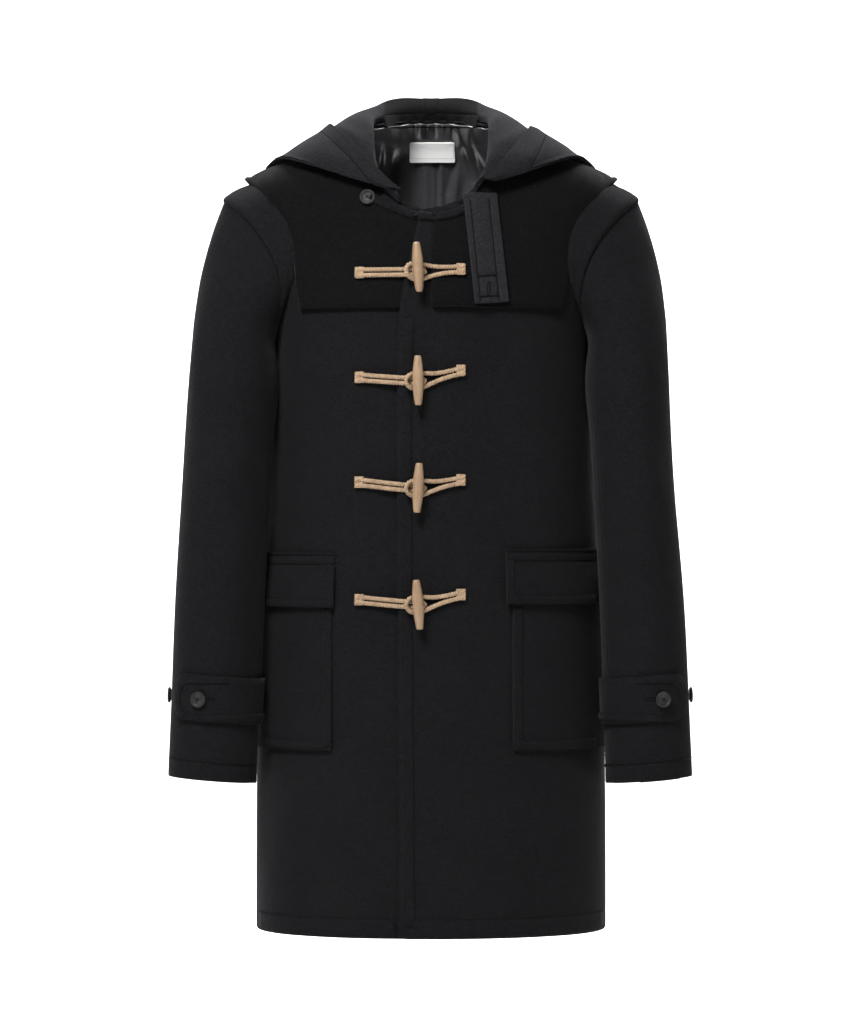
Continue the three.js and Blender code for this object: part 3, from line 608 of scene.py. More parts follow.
def wool(name, colour, light, nap):
    """Napped wool: felted fibres, small pale flecks and a soft sheen."""
    surface = Surface(name, {
        "Base Color": colour, "Roughness": 0.95, "Sheen Weight": 0.035, "Sheen Roughness": 0.35,
        "Sheen Tint": (0.75, 0.76, 0.80, 1), "Specular IOR Level": 0.02,
    })
    broad = surface.noise(14, 3)
    felt = surface.noise(330, 3, 0.6, (1, 1, 1.7))
    fibre = surface.noise(760, 3, 0.7, (1, 1, 1.6))
    fleck = surface.noise(1100, 1, 0.5, (1, 1, 0.4)).above(0.66, 0.76)
    shade = (felt * 0.65 + fibre * 0.35 + broad * 0.10).above(0.34, 0.80)
    tone = surface.blend(shade, colour, light)
    pale = tuple(min(1, channel * 2.6) for channel in light[:3]) + (1,)
    surface.feed("Base Color", surface.blend(fleck * 0.3, tone, pale))
    surface.relief(felt * 0.8 + fibre * 0.6, nap)
    return surface.material


def satin(name):
    """Grey lining satin with a fine weft and a silky gloss."""
    colour = (0.026, 0.026, 0.028, 1)
    surface = Surface(name, {
        "Base Color": colour, "Roughness": 0.30, "Sheen Weight": 0.04, "Sheen Roughness": 0.3,
        "Sheen Tint": (0.9, 0.9, 0.95, 1), "Specular IOR Level": 1.0, "Anisotropic": 0.3,
    })
    weft = surface.noise(1500, 1, 0.5, (0.15, 0.15, 1))
    broad = surface.noise(30, 2)
    surface.feed("Base Color", surface.blend(broad, colour, (0.048, 0.048, 0.051, 1)))
    surface.feed("Roughness", weft * 0.12 + 0.24)
    surface.relief(weft, 0.00008)
    return surface.material


def turned_wood(name):
    """Pale turned wood with long grain, pores and darker rings."""
    colour = (0.27, 0.185, 0.115, 1)
    surface = Surface(name, {
        "Base Color": colour, "Roughness": 0.5, "Specular IOR Level": 0.4, "Coat Weight": 0.12,
        "Coat Roughness": 0.35,
    })
    grain = surface.noise(260, 4, 0.6, (1, 1, 0.07))
    band = surface.noise(60, 2, 0.5, (1, 1, 0.12))
    pores = surface.noise(900, 1, 0.5, (1, 1, 0.1)).above(0.62, 0.72)
    rings = (grain * 0.6 + band * 0.6).above(0.35, 0.8)
    tone = surface.blend(rings, (0.205, 0.133, 0.076, 1), (0.115, 0.069, 0.036, 1))
    surface.feed("Base Color", surface.blend(pores * 0.6, tone, (0.095, 0.054, 0.026, 1)))
    surface.feed("Roughness", grain * 0.25 + 0.38)
    surface.relief(grain + pores * -0.6, 0.00012)
    return surface.material


def jute(name):
    """Twisted jute yarn: dry fibres in straw colours."""
    colour = (0.22, 0.15, 0.092, 1)
    surface = Surface(name, {
        "Base Color": colour, "Roughness": 0.85, "Sheen Weight": 0.10, "Sheen Roughness": 0.5,
        "Specular IOR Level": 0.25,
    })
    fibre = surface.noise(1400, 3, 0.7, (0.5, 1, 1))
    broad = surface.noise(150, 2)
    straw = (fibre * 0.7 + broad * 0.5).above(0.35, 0.85)
    tone = surface.blend(straw, (0.125, 0.080, 0.046, 1), (0.31, 0.215, 0.135, 1))
    surface.feed("Base Color", tone)
    surface.relief(fibre, 0.00025)
    return surface.material


def horn(name):
    """Dark horn for the sewn buttons, faintly streaked."""
    colour = (0.008, 0.0078, 0.0075, 1)
    surface = Surface(name, {
        "Base Color": colour, "Roughness": 0.5, "Specular IOR Level": 0.12,
    })
    streak = surface.noise(240, 3, 0.6, (1, 1, 0.3))
    surface.feed("Base Color", surface.blend(streak.above(0.45, 0.75), colour, (0.022, 0.021, 0.020, 1)))
    surface.feed("Roughness", streak * 0.2 + 0.42)
    surface.relief(streak, 0.00004)
    return surface.material


def woven_label(name):
    """A blank white woven label."""
    colour = (0.86, 0.86, 0.84, 1)
    surface = Surface(name, {
        "Base Color": colour, "Roughness": 0.6, "Sheen Weight": 0.2, "Specular IOR Level": 0.35,
    })
    weft = surface.noise(2400, 1, 0.5, (0.2, 0.2, 1))
    warp = surface.noise(2400, 1, 0.5, (1, 1, 0.2))
    weave = weft * 0.5 + warp * 0.5
    surface.feed("Base Color", surface.blend(weave, (0.80, 0.80, 0.79, 1), (0.90, 0.90, 0.89, 1)))
    surface.relief(weave, 0.00008)
    return surface.material


def thread(name, colour, light):
    """Sewing thread, two plies deep in colour."""
    surface = Surface(name, {
        "Base Color": colour, "Roughness": 0.85, "Sheen Weight": 0.0, "Specular IOR Level": 0.05,
    })
    ply = surface.noise(2600, 2, 0.6)
    surface.feed("Base Color", surface.blend(ply, colour, light))
    surface.relief(ply, 0.00006)
    return surface.material


def floor_paint(name):
    """The plain pale floor."""
    colour = (0.9, 0.9, 0.9, 1)
    surface = Surface(name, {"Base Color": colour, "Roughness": 0.85, "Specular IOR Level": 0.1})
    speck = surface.noise(3, 2)
    surface.feed("Base Color", surface.blend(speck, (0.89, 0.89, 0.89, 1), (0.92, 0.92, 0.92, 1)))
    return surface.material


# Lit and shaded copies of the charcoal wool: painted shade on the yokes and inside the hood, painted light on
# the hood and throat tab; each row gives its share of the wool's tones, and of its nap
WOOL_TONES = (("yoke_painted_shade_wool", 0.6, 0.7), ("hood_painted_light_wool", 1.5, 1), ("tab_painted_light_wool", 2.3, 1), ("shaded_wool", 0.4, 1))
MATERIALS = {}
PIECES = {}


class CoatSettings(bpy.types.PropertyGroup):
    """Sizes and colours of the coat that a user would change."""

    wool_colour: bpy.props.FloatVectorProperty(
        name="Wool", description="Darkest tone of the wool", subtype="COLOR", size=4,
        default=(0.0020, 0.0020, 0.0023, 1), min=0, max=1)
    wool_light: bpy.props.FloatVectorProperty(
        name="Wool fibres", description="Tone of the raised fibres", subtype="COLOR", size=4,
        default=(0.0078, 0.0078, 0.0085, 1), min=0, max=1)
    nap: bpy.props.FloatProperty(
        name="Nap", description="Height of the felted surface", default=0.0009, min=0, max=0.003,
        unit="LENGTH", precision=5)
    rim: bpy.props.FloatProperty(
        name="Rim", description="How far the sewn rims stand proud", default=0.0011, min=0,
        max=0.003, unit="LENGTH", precision=5)
    # valley: half the width of the dark tube laid along each seam, a painted shadow for the seam's sunk line
    valley: bpy.props.FloatProperty(
        name="Valley", description="Half the width of the dark line along a seam", default=0.00062,
        min=0.0002, max=0.002, unit="LENGTH", precision=5)
    stitch_pitch: bpy.props.FloatProperty(
        name="Stitch", description="Distance from one stitch to the next", default=0.0042,
        min=0.002, max=0.01, unit="LENGTH", precision=5)


class StudioSettings(bpy.types.PropertyGroup):
    """The strength of the lights."""

    key_power: bpy.props.FloatProperty(
        name="Key", description="Power of the large lamp above the front", default=300, min=0,
        unit="POWER")
    fill_power: bpy.props.FloatProperty(
        name="Fill", description="Power of each lamp beside the coat", default=16, min=0, unit="POWER")
    backdrop_power: bpy.props.FloatProperty(
        name="Backdrop", description="Power of each lamp that lights the backdrop", default=420, min=0,
        unit="POWER")
    world: bpy.props.FloatProperty(
        name="Surroundings", description="Strength of the even light all round", default=0.33, min=0)


def paint():
    """Makes each finish of the coat once."""
    if MATERIALS:
        return
    coat = bpy.context.scene.duffle_coat
    dark, light = tuple(coat.wool_colour), tuple(coat.wool_light)
    # Each copy paints light or shade into the wool's colour
    for name, share, nap in WOOL_TONES:
        tones = [tuple(c * share for c in tone[:3]) + (1,) for tone in (dark, light)]
        MATERIALS[name] = wool(name, *tones, coat.nap * nap)
    MATERIALS.update(
        wool=wool("charcoal_wool", dark, light, coat.nap),
        satin=satin("lining_satin"),
        wood=turned_wood("toggle_wood"),
        jute=jute("jute_yarn"),
        horn=horn("button_horn"),
        label=woven_label("label_weave"),
        dark_thread=thread("dark_thread", (0.0016, 0.0016, 0.0018, 1), (0.0032, 0.0032, 0.0036, 1)),
        straw_thread=thread("straw_thread", (0.16, 0.105, 0.055, 1), (0.30, 0.21, 0.12, 1)),
        grey_thread=thread("grey_thread", (0.05, 0.05, 0.053, 1), (0.12, 0.12, 0.125, 1)),
        floor=floor_paint("floor_paint"),
    )


def cloth_piece(node, piece, levels, material, crease=0.7):
    """Refines a cloth node and keeps it for the sewing."""
    obj = refined(node, piece, levels, crease)
    PIECES[node] = obj
    finish_piece(obj, MATERIALS[material], (node,))
    return obj


def rim_and_seam(name, inner, outer, height, material="wool"):
    """A padded rim with its row of stitches along the inner side."""
    rim = strip(name, inner, outer, height)
    finish_piece(rim, MATERIALS[material])
    seam(name + "_seam", inner)
    return rim


def seam(name, places, colour="dark_thread"):
    """A row of stitches, with a dark thread tube along it as a painted shadow for the sunk line that the
    stitches pull into thick cloth.
    """
    pitch = bpy.context.scene.duffle_coat.stitch_pitch
    row = stitches(name, places, pitch)
    if row:
        finish_piece(row, MATERIALS[colour])
        # The dark tube along the stitches is painted shade for the seam's valley
        line = tube(name + "_valley", [place for place, _ in places], bpy.context.scene.duffle_coat.valley, 6)
        finish_piece(line, MATERIALS["dark_thread"])
    return row


class COAT_OT_body(bpy.types.Operator):
    """Fronts, back and yokes, with their soft folds"""

    bl_idname = "coat.body"
    bl_label = "Body and yokes"

    def execute(self, context):
        paint()
        for side in SIDES:
            front = cloth_piece(f"front_{side}", f"front_{side}_cloth", 2, "wool")
            hand = 1 if side == "left" else -1
            for start, end, width, depth in BODY_FOLDS:
                fold(front, (hand * start[0], -0.12, start[1]), (hand * end[0], -0.12, end[1]), width,
                     depth, forward)
            # The yokes take a darker copy of the wool: painted shade for the hood's shadow over the upper
            # chest
            cloth_piece(f"yoke_{side}", f"yoke_{side}_cloth", 2, "yoke_painted_shade_wool")
        back = cloth_piece("back", "back_cloth", 2, "wool")
        for start, end, width, depth in BACK_FOLDS:
            fold(back, start, end, width, depth, away_from_axis(0, 0))
        return {"FINISHED"}


class COAT_OT_sleeves(bpy.types.Operator):
    """Two-piece sleeves, armhole bands and cuff straps"""

    bl_idname = "coat.sleeves"
    bl_label = "Sleeves and cuffs"

    def execute(self, context):
        for side in SIDES:
            hand = 1 if side == "left" else -1
            shift = 0.0035 if side == "left" else 0.0
            top = cloth_piece(f"top_sleeve_{side}", f"top_sleeve_{side}_cloth", 3, "wool", crease=0.6)
            under = cloth_piece(f"under_sleeve_{side}", f"under_sleeve_{side}_cloth", 2, "wool", crease=0.6)
            band = cloth_piece(f"armhole_band_{side}", f"armhole_band_{side}_cloth", 2, "wool", crease=0.5)
            strap = cloth_piece(f"cuff_strap_{side}", f"cuff_strap_{side}_cloth", 2, "wool", crease=0.6)
            axis = hand * (0.241 - shift)
            outward = away_from_axis(hand * 0.15, -0.02)
            for piece in (top, under, band, strap):
                points = coordinates(piece)
                near = np.clip((abs(axis) - np.abs(points[:, 0])) / 0.045, 0, 1)
                away = np.clip((np.abs(points[:, 0]) - abs(axis)) / 0.045, 0, 1)
                points[:, 0] -= hand * OUTER_IN[side] * away * np.exp(-(((points[:, 2] + 0.33) / 0.16) ** 2))
                level = np.clip((points[:, 2] + 0.70) / 0.12, 0, 1)
                level *= np.clip((-0.200 - points[:, 2]) / 0.04, 0, 1)
                underarm = 0.0055 * np.exp(-(((points[:, 2] + 0.265) / 0.05) ** 2))
                points[:, 0] -= hand * (SLEEVE_LEAN[side] + underarm) * near * level
                behind = np.clip((points[:, 1] + 0.085) / 0.05, 0, 1)
                points[:, 2] -= CUFF_DROP * behind * np.clip((-0.66 - points[:, 2]) / 0.05, 0, 1)
                set_coordinates(piece, points)
            self.tuck_yoke(PIECES[f"yoke_{side}"], band, hand)
            swell(band, 0.0017)
            points = coordinates(band)
            set_coordinates(band, points + 0.0010 * outward(points))
            swell(top, 0.0003)
            swell(under, 0.0003)
            for start, end, width, depth in SLEEVE_FOLDS[side]:
                for piece in (top, under):
                    fold(piece, (hand * start[0], start[1], start[2]), (hand * end[0], end[1], end[2]),
                         width, depth, away_from_axis(axis, -0.06))
            sleeve = [top, under]
            x, y = hand * (0.2475 - shift), -0.077
            turns = [2 * math.pi * i / 60 for i in range(61)]
            drops = [CUFF_DROP * min(1, max(0, 0.2 + math.sin(turn))) for turn in turns]
            edge = [round_about(sleeve, x, y, -0.7185 - drop, turn, 0.004 * hand)
                    for turn, drop in zip(turns, drops)]
            hem = [round_about(sleeve, x, y, -0.6975 - drop, turn, 0.004 * hand)
                   for turn, drop in zip(turns, drops)]
            rim_and_seam(f"cuff_hem_{side}", laid(hem, 0.0003), laid(edge, 0.0002), 0.0009)
            outline, inset = [], []
            for (turn_a, z_a, turn_b, z_b), (turn_c, z_c, turn_d, z_d) in zip(STRAP_RIM, STRAP_RIM[1:]):
                for i in range(12):
                    share = i / 12
                    both = ((outline, turn_a, turn_c, z_a, z_c), (inset, turn_b, turn_d, z_b, z_d))
                    for row, a, b, low, high in both:
                        turn = a + (b - a) * share
                        angle = -turn if hand > 0 else math.pi + turn
                        row.append(round_about([strap], x, y, low + (high - low) * share, angle))
            rim_and_seam(f"strap_rim_{side}", *paired(inset, outline), 0.0012)
            near, far = ring_rows(band, (0.03, 0.97))
            ridge = strip(f"armhole_ridge_{side}", near, far, 0.0019, 0.0003, TWO_RIDGES)
            finish_piece(ridge, MATERIALS["wool"])
            for name, row in (("near", near), ("far", far)):
                seam(f"armhole_seam_{name}_{side}", laid(row, 0.0006))
        return {"FINISHED"}

    def tuck_yoke(self, yoke, band, hand):
        """Presses the yoke's outer edge down to the armhole, where the band is sewn over it."""
        points = coordinates(yoke)
        edge = coordinates(band)[::3]
        apart = np.concatenate([np.linalg.norm(part[:, None, :] - edge[None, :, :], axis=2).min(1)
                                for part in np.array_split(points, 1 + len(points) // 2000)])
        outward = points - np.array([hand * 0.10, 0, -0.14])
        outward /= np.linalg.norm(outward, axis=1)[:, None]
        sink = 0.0034 * np.exp(-((apart / 0.009) ** 2))
        set_coordinates(yoke, points - sink[:, None] * outward)


class COAT_OT_hood(bpy.types.Operator):
    """The hood laid back, its taped seam and its stitched edge"""

    bl_idname = "coat.hood"
    bl_label = "Hood"

    def execute(self, context):
        for side in SIDES:
            hand = 1 if side == "left" else -1
            # The hood halves take a lighter copy of the wool: painted light on cloth that faces up to the
            # lamps
            half = cloth_piece(f"hood_{side}", f"hood_{side}_cloth", 3, "hood_painted_light_wool", crease=0.5)
            for start, end, width, depth in HOOD_FOLDS[side]:
                fold(half, (hand * start[0], start[1], start[2]), (hand * end[0], end[1], end[2]),
                     width, depth, upward)
        for side, route in HOOD_SEAMS.items():
            half = PIECES[f"hood_{side}"]
            corners = along([(x, z, 0) for x, z in route], 0.003)
            places = laid([from_front([half], x, z) for x, z, _ in corners], 0)
            groove(half, places, 0.0010, 0.0028)
            places = laid([from_front([half], x, z) for x, z, _ in corners], 0.0001)
            seam(f"hood_edge_seam_{side}", places)
            points = coordinates(half)
            points[:, 2] -= 0.0055 * np.clip((np.abs(points[:, 0]) - 0.115) / 0.05, 0, 1) ** 1.5
            set_coordinates(half, points)
            # Faces of the hood's front roll inside the neck take the shaded wool: painted shade inside the
            # hood
            half.data.materials.append(MATERIALS["shaded_wool"])
            for face in half.data.polygons:
                spot = face.center
                if abs(spot.x) < 0.054 and spot.z > 0.034 and spot.y < 0.087 and face.normal.y < -0.15:
                    face.material_index = 1
        # The seam tape inside the hood takes the shaded wool: painted shade
        tape = cloth_piece("hood_seam", "hood_seam_cloth", 2, "shaded_wool", crease=0.5)
        points = coordinates(tape)
        middle = np.array([0, 0.083, 0.03])
        inwards = middle - points
        inwards[:, 0] = 0
        inwards /= np.linalg.norm(inwards, axis=1)[:, None]
        set_coordinates(tape, points + 0.0013 * inwards)
        return {"FINISHED"}


def upward(points):
    """Directions that lead up and a little outwards from the neck."""
    flat = points * np.array([1.0, 1.0, 0.0])
    flat /= np.maximum(np.linalg.norm(flat, axis=1), 1e-6)[:, None]
    flat *= 0.45
    flat[:, 2] = 0.9
    return flat


class COAT_OT_lining(bpy.types.Operator):
    """The satin that shows inside the neck, and the blank label"""

    bl_idname = "coat.lining"
    bl_label = "Lining and label"

    def execute(self, context):
        lining = self.inner_face()
        for start, end, width, depth in LINING_FOLDS:
            fold(lining, (start[0], 0, start[1]), (end[0], 0, end[1]), width, depth, forward, (1, 0, 1))
        self.facing(lining)
        label = refined("label", "label_cloth", 3, crease=0.5)
        set_coordinates(label, coordinates(label) + LABEL_LIFT * forward(coordinates(label)))
        finish_piece(label, MATERIALS["label"], ("label",))
        PIECES["label"] = label
        swell(label, 0.0001)
        left, right, low, high = -0.0235, 0.0265, -0.0033, 0.0168
        corners = [(left, low), (right, low), (right, high), (left, high), (left, low)]
        route = [from_front([label], x, z) for x, z, _ in along([(x, z, 0) for x, z in corners], 0.002)]
        row = stitches("label_seam", laid(route, 0.0001), 0.0026, 0.0018, 0.0002)
        finish_piece(row, MATERIALS["grey_thread"])
        return {"FINISHED"}

    def inner_face(self):
        """The satin over the whole inside of the upper back, up to the neckline."""
        lining = refined("back", "lining_satin", 2)
        inside = Vector((0, 0, -0.16))
        for face in lining.data.polygons:
            way = (inside - face.center).normalized()
            face.select = face.center.z < -0.216 or face.normal.dot(way) < 0.35
        select(lining)
        bpy.ops.object.mode_set(mode="EDIT")
        bpy.ops.mesh.select_mode(type="FACE")
        bpy.ops.object.mode_set(mode="OBJECT")
        bpy.ops.object.mode_set(mode="EDIT")
        bpy.ops.mesh.delete(type="FACE")
        bpy.ops.mesh.select_all(action="DESELECT")
        bpy.ops.object.mode_set(mode="OBJECT")
        swell(lining, 0.0036)
        finer = lining.modifiers.new("Subdivision", "SUBSURF")
        finer.levels = 2
        shell = lining.modifiers.new("Thickness", "SOLIDIFY")
        shell.thickness = 0.0008
        shell.offset = 1
        apply_modifiers(lining)
        finish_piece(lining, MATERIALS["satin"], ("lining",))
        PIECES["lining"] = lining
        return lining

    def facing(self, lining):
        """The hood's cloth turned in over the satin's upper edge."""
        hoods = [PIECES["hood_left"], PIECES["hood_right"]]
        xs = [-0.062 + 0.124 * i / 60 for i in range(61)]
        upper = [from_front(hoods, x, 0.0475 - 1.6 * x * x) for x in xs]
        lower = [from_front([lining], x, 0.0315 - 1.6 * x * x) for x in xs]
        rows = [pair for pair in zip(upper, lower) if all(pair)]
        satin_side = laid([b for _, b in rows], 0.0006)
        hood_side = laid([a for a, _ in rows], -0.0004)
        rim = strip("neck_facing", satin_side, hood_side, 0.0010)
        # The facing takes the shaded wool: painted shade where the hood meets the satin
        finish_piece(rim, MATERIALS["shaded_wool"])


class COAT_OT_pockets(bpy.types.Operator):
    """Patch pockets and their flaps with padded rims"""

    bl_idname = "coat.pockets"
    bl_label = "Pockets"

    def execute(self, context):
        for pocket in POCKETS:
            side, hand = pocket["side"], pocket["hand"]
            bag = cloth_piece(f"pocket_{side}", f"pocket_{side}_cloth", 3, "wool", crease=0.55)
            flap = cloth_piece(f"pocket_flap_{side}", f"pocket_flap_{side}_cloth", 3, "wool", crease=0.55)
            inner, drop = pocket["pocket_x"], pocket["drop"]
            outer_x = 0.186
            low, width = -0.6825, 0.010
            corner = 0.012
            edge, stitch = [], []
            for i in range(41):
                share = i / 40
                z = -0.524 + share * (low + 0.524 + corner)
                edge.append(from_front([bag], hand * (inner + 0.0012), z))
                stitch.append(from_front([bag], hand * (inner + 0.0012 + width), min(z, 0)))
            for i in range(1, 7):
                turn = math.pi / 2 * i / 6
                x = inner + 0.0012 + corner * (1 - math.cos(turn))
                z = low + corner * (1 - math.sin(turn))
                edge.append(from_front([bag], hand * x, z + 0.0006))
                rise = max(width, corner * (1 - math.sin(turn)))
                stitch.append(from_front([bag], hand * (inner + 0.0012 + width), low + rise))
            for i in range(1, 33):
                x = inner + corner + (outer_x - inner - corner) * i / 32
                edge.append(from_front([bag], hand * x, low + 0.0006))
                stitch.append(from_front([bag], hand * max(x, inner + width), low + width))
            rim_and_seam(f"pocket_rim_{side}", *paired(stitch, edge), 0.0010)
            top, bottom = -0.4592 - drop, -0.5188 - drop
            start = pocket["flap_x"] + 0.0012
            edge, stitch = [], []
            for i in range(16):
                z = top - 0.0115 + (bottom - top + 0.0115) * i / 15
                edge.append(from_front([flap], hand * start, z))
                stitch.append(from_front([flap], hand * (start + 0.0085), max(z, bottom + 0.0085)))
            for i in range(1, 33):
                x = start + (outer_x - start) * i / 32
                edge.append(from_front([flap], hand * x, bottom))
                stitch.append(from_front([flap], hand * max(x, start + 0.0085), bottom + 0.0085))
            rim_and_seam(f"flap_rim_{side}", *paired(stitch, edge), 0.0010)
            for name, inset in (("upper", 0.0012), ("lower", 0.0115)):
                route = [from_front([flap], hand * (start + (outer_x - start) * i / 32), top - inset)
                         for i in range(33)]
                groove(flap, laid(route, 0), 0.0008, 0.0024)
                seam(f"flap_seam_{name}_{side}", laid(route, -0.0002))
        return {"FINISHED"}


def paired(inner, outer):
    """The two rows of places of a rim, without the pairs where one of them missed."""
    both = [(a, b) for a, b in zip(inner, outer) if a and b]
    return laid([a for a, _ in both], 0.0002), laid([b for _, b in both], 0.0001)


class COAT_OT_edges(bpy.types.Operator):
    """Stitched rims of the front edge, hem, yokes and neckline"""

    bl_idname = "coat.edges"
    bl_label = "Edges and hems"

    def execute(self, context):
        front = [PIECES["front_left"]]
        inner, outer = [], []
        for (z, x), (z2, x2) in zip(FRONT_EDGE, FRONT_EDGE[1:]):
            count = max(2, round((z2 - z) / 0.012))
            for i in range(count):
                share = i / count
                at_x, at_z = x + (x2 - x) * share, z + (z2 - z) * share
                if at_z > YOKE_Z - 0.002:
                    continue
                outer.append(from_front(front, at_x + 0.0022, at_z))
                inner.append(from_front(front, at_x + 0.0160, at_z))
        rim_and_seam("front_edge_rim", *paired(inner, outer), 0.0012)
        for side in SIDES:
            hand = 1 if side == "left" else -1
            first = -0.030 if side == "left" else -0.012
            xs = [first + (0.196 - first) * i / 48 for i in range(49)]
            if side == "right":
                xs = [0.040 + (0.196 - 0.040) * i / 40 for i in range(41)]
            cloth = [PIECES[f"front_{side}"]]
            low = [from_front(cloth, hand * x, HEM_Z + 0.002) for x in xs]
            high = [from_front(cloth, hand * x, HEM_Z + 0.0215) for x in xs]
            rim_and_seam(f"front_hem_{side}", *paired(high, low), 0.0010)
            yoke = [PIECES[f"yoke_{side}"]]
            first = 0.003 if side == "left" else 0.028
            xs = [first + (0.152 - first) * i / 36 for i in range(37)]
            low = [from_front(yoke, hand * x, YOKE_Z + 0.0022) for x in xs]
            seam(f"yoke_seam_front_{side}", laid(low, 0.0002))
            xs = [0.002 + 0.146 * i / 36 for i in range(37)]
            low = [from_back(yoke, hand * x, YOKE_Z + 0.0022) for x in xs]
            seam(f"yoke_seam_back_{side}", laid(low, 0.0002))
        back = [PIECES["back"]]
        xs = [-0.196 + 0.392 * i / 80 for i in range(81)]
        low = [from_back(back, x, HEM_Z + 0.002) for x in xs]
        high = [from_back(back, x, HEM_Z + 0.0215) for x in xs]
        rim_and_seam("back_hem", *paired(high, low), 0.0010)
        for side in SIDES:
            band = cloth_piece(f"neck_band_{side}", f"neck_band_{side}_cloth", 3, "wool", crease=0.35)
        yokes = [PIECES["front_left"], PIECES["front_right"], PIECES["yoke_left"], PIECES["yoke_right"]]
        upper, lower = [], []
        corners = along([(x, z, 0) for x, z in NECK_ROLL], 0.004)
        for a, b in zip(corners, corners[1:]):
            way = (b - a).normalized()
            down = Vector((way.y, -way.x, 0))
            for row, offset in ((upper, 0.0012), (lower, 0.0110)):
                spot = a + down * offset
                row.append(from_front(yokes, spot.x, spot.y))
        rim_and_seam("neck_roll", *paired(lower, upper), 0.0030)
        # The throat tab takes the lightest copy of the wool: painted light from above
        tab = cloth_piece("throat_tab", "throat_tab_cloth", 3, "tab_painted_light_wool", crease=0.55)
        top, bottom = Vector((0.054, 0, -0.062)), Vector((0.066, 0, -0.183))
        across = Vector((0.9947, 0, 0.0995))
        inset, half = 0.0085, 0.019
        runs = {"left": [], "right": [], "end": [], "box": []}
        for i in range(41):
            place = top.lerp(bottom, 0.03 + 0.94 * i / 40)
            for name, offset in (("left", -half + inset), ("right", half - inset)):
                spot = place + across * offset
                runs[name].append(from_front([tab], spot.x, spot.z))
        for i in range(13):
            offset = -half + inset + (2 * half - 2 * inset) * i / 12
            for name, share in (("end", 0.93), ("box", 0.74)):
                spot = top.lerp(bottom, share) + across * offset
                runs[name].append(from_front([tab], spot.x, spot.z))
        for name, route in runs.items():
            groove(tab, laid(route, 0), 0.0009, 0.0024)
            seam(f"tab_seam_{name}", laid(route, -0.0002))
        hole = top.lerp(bottom, 0.86)
        buttonhole("tab_buttonhole", [tab], hole.x, hole.z, 0.016, 1.5)
        return {"FINISHED"}


def buttonhole(name, targets, x, z, length, turn):
    """A worked buttonhole: a ring of close stitches round a slit."""
    places = []
    for i in range(33):
        angle = 2 * math.pi * i / 32
        u, v = length / 2 * math.cos(angle), 0.0016 * math.sin(angle)
        right = u * math.cos(turn) - v * math.sin(turn)
        up = u * math.sin(turn) + v * math.cos(turn)
        places.append(from_front(targets, x + right, z + up))
    row = stitches(name, laid(places, 0.0003), 0.0011, 0.0010, 0.0005)
    if row:
        finish_piece(row, MATERIALS["dark_thread"])
    return row


def front_normal(x, z):
    """The lie of the cloth on the front at x, z, without the seams' small steps."""
    found = [from_front(CLOTH_FRONT, x + dx, z + dz) for dx in (-0.004, 0.004) for dz in (-0.004, 0.004)]
    return sum((normal for _, normal in filter(None, found)), Vector()).normalized()


CLOTH_FRONT = []
CORD = 0.0027


def cord_path(entries):
    """Places over the front from rows of x, z and lift off the cloth, smoothed."""
    places = []
    for x, z, lift in entries:
        found = from_front(CLOTH_FRONT, x, z)
        places.append(found[0] + front_normal(x, z) * lift)
    curve = path_curve("guide", places)
    spline = curve.data.splines[0]
    spline.type = "NURBS"
    spline.order_u = 4
    spline.use_endpoint_u = True
    spline.resolution_u = 6
    select(curve)
    bpy.ops.object.convert(target="MESH")
    guide = bpy.context.object
    smooth = [Vector(place) for place in coordinates(guide)]
    bpy.data.objects.remove(guide)
    return smooth


def twisted(name, places, turns_per_metre=150):
    """Two plies twisted round each other along places."""
    lengths = [0.0]
    for a, b in zip(places, places[1:]):
        lengths.append(lengths[-1] + (b - a).length)
    total = lengths[-1]
    count = int(total / 0.0009)
    dense, at = [], 0
    for i in range(count + 1):
        want = total * i / count
        while at < len(places) - 2 and lengths[at + 1] < want:
            at += 1
        share = (want - lengths[at]) / max(lengths[at + 1] - lengths[at], 1e-9)
        dense.append(places[at].lerp(places[at + 1], min(1, share)))
    plies = []
    for ply in range(2):
        strand = []
        for i, place in enumerate(dense):
            tangent = (dense[min(i + 1, count)] - dense[max(i - 1, 0)]).normalized()
            up = Vector((0, -1, 0))
            up = (up - tangent * up.dot(tangent)).normalized()
            side = tangent.cross(up)
            turn = 2 * math.pi * (total * i / count * turns_per_metre) + math.pi * ply
            strand.append(place + (side * math.cos(turn) + up * math.sin(turn)) * CORD * 0.47)
        plies.append(tube(f"{name}_ply_{ply + 1}", strand, CORD * 0.56, 8))
    return plies


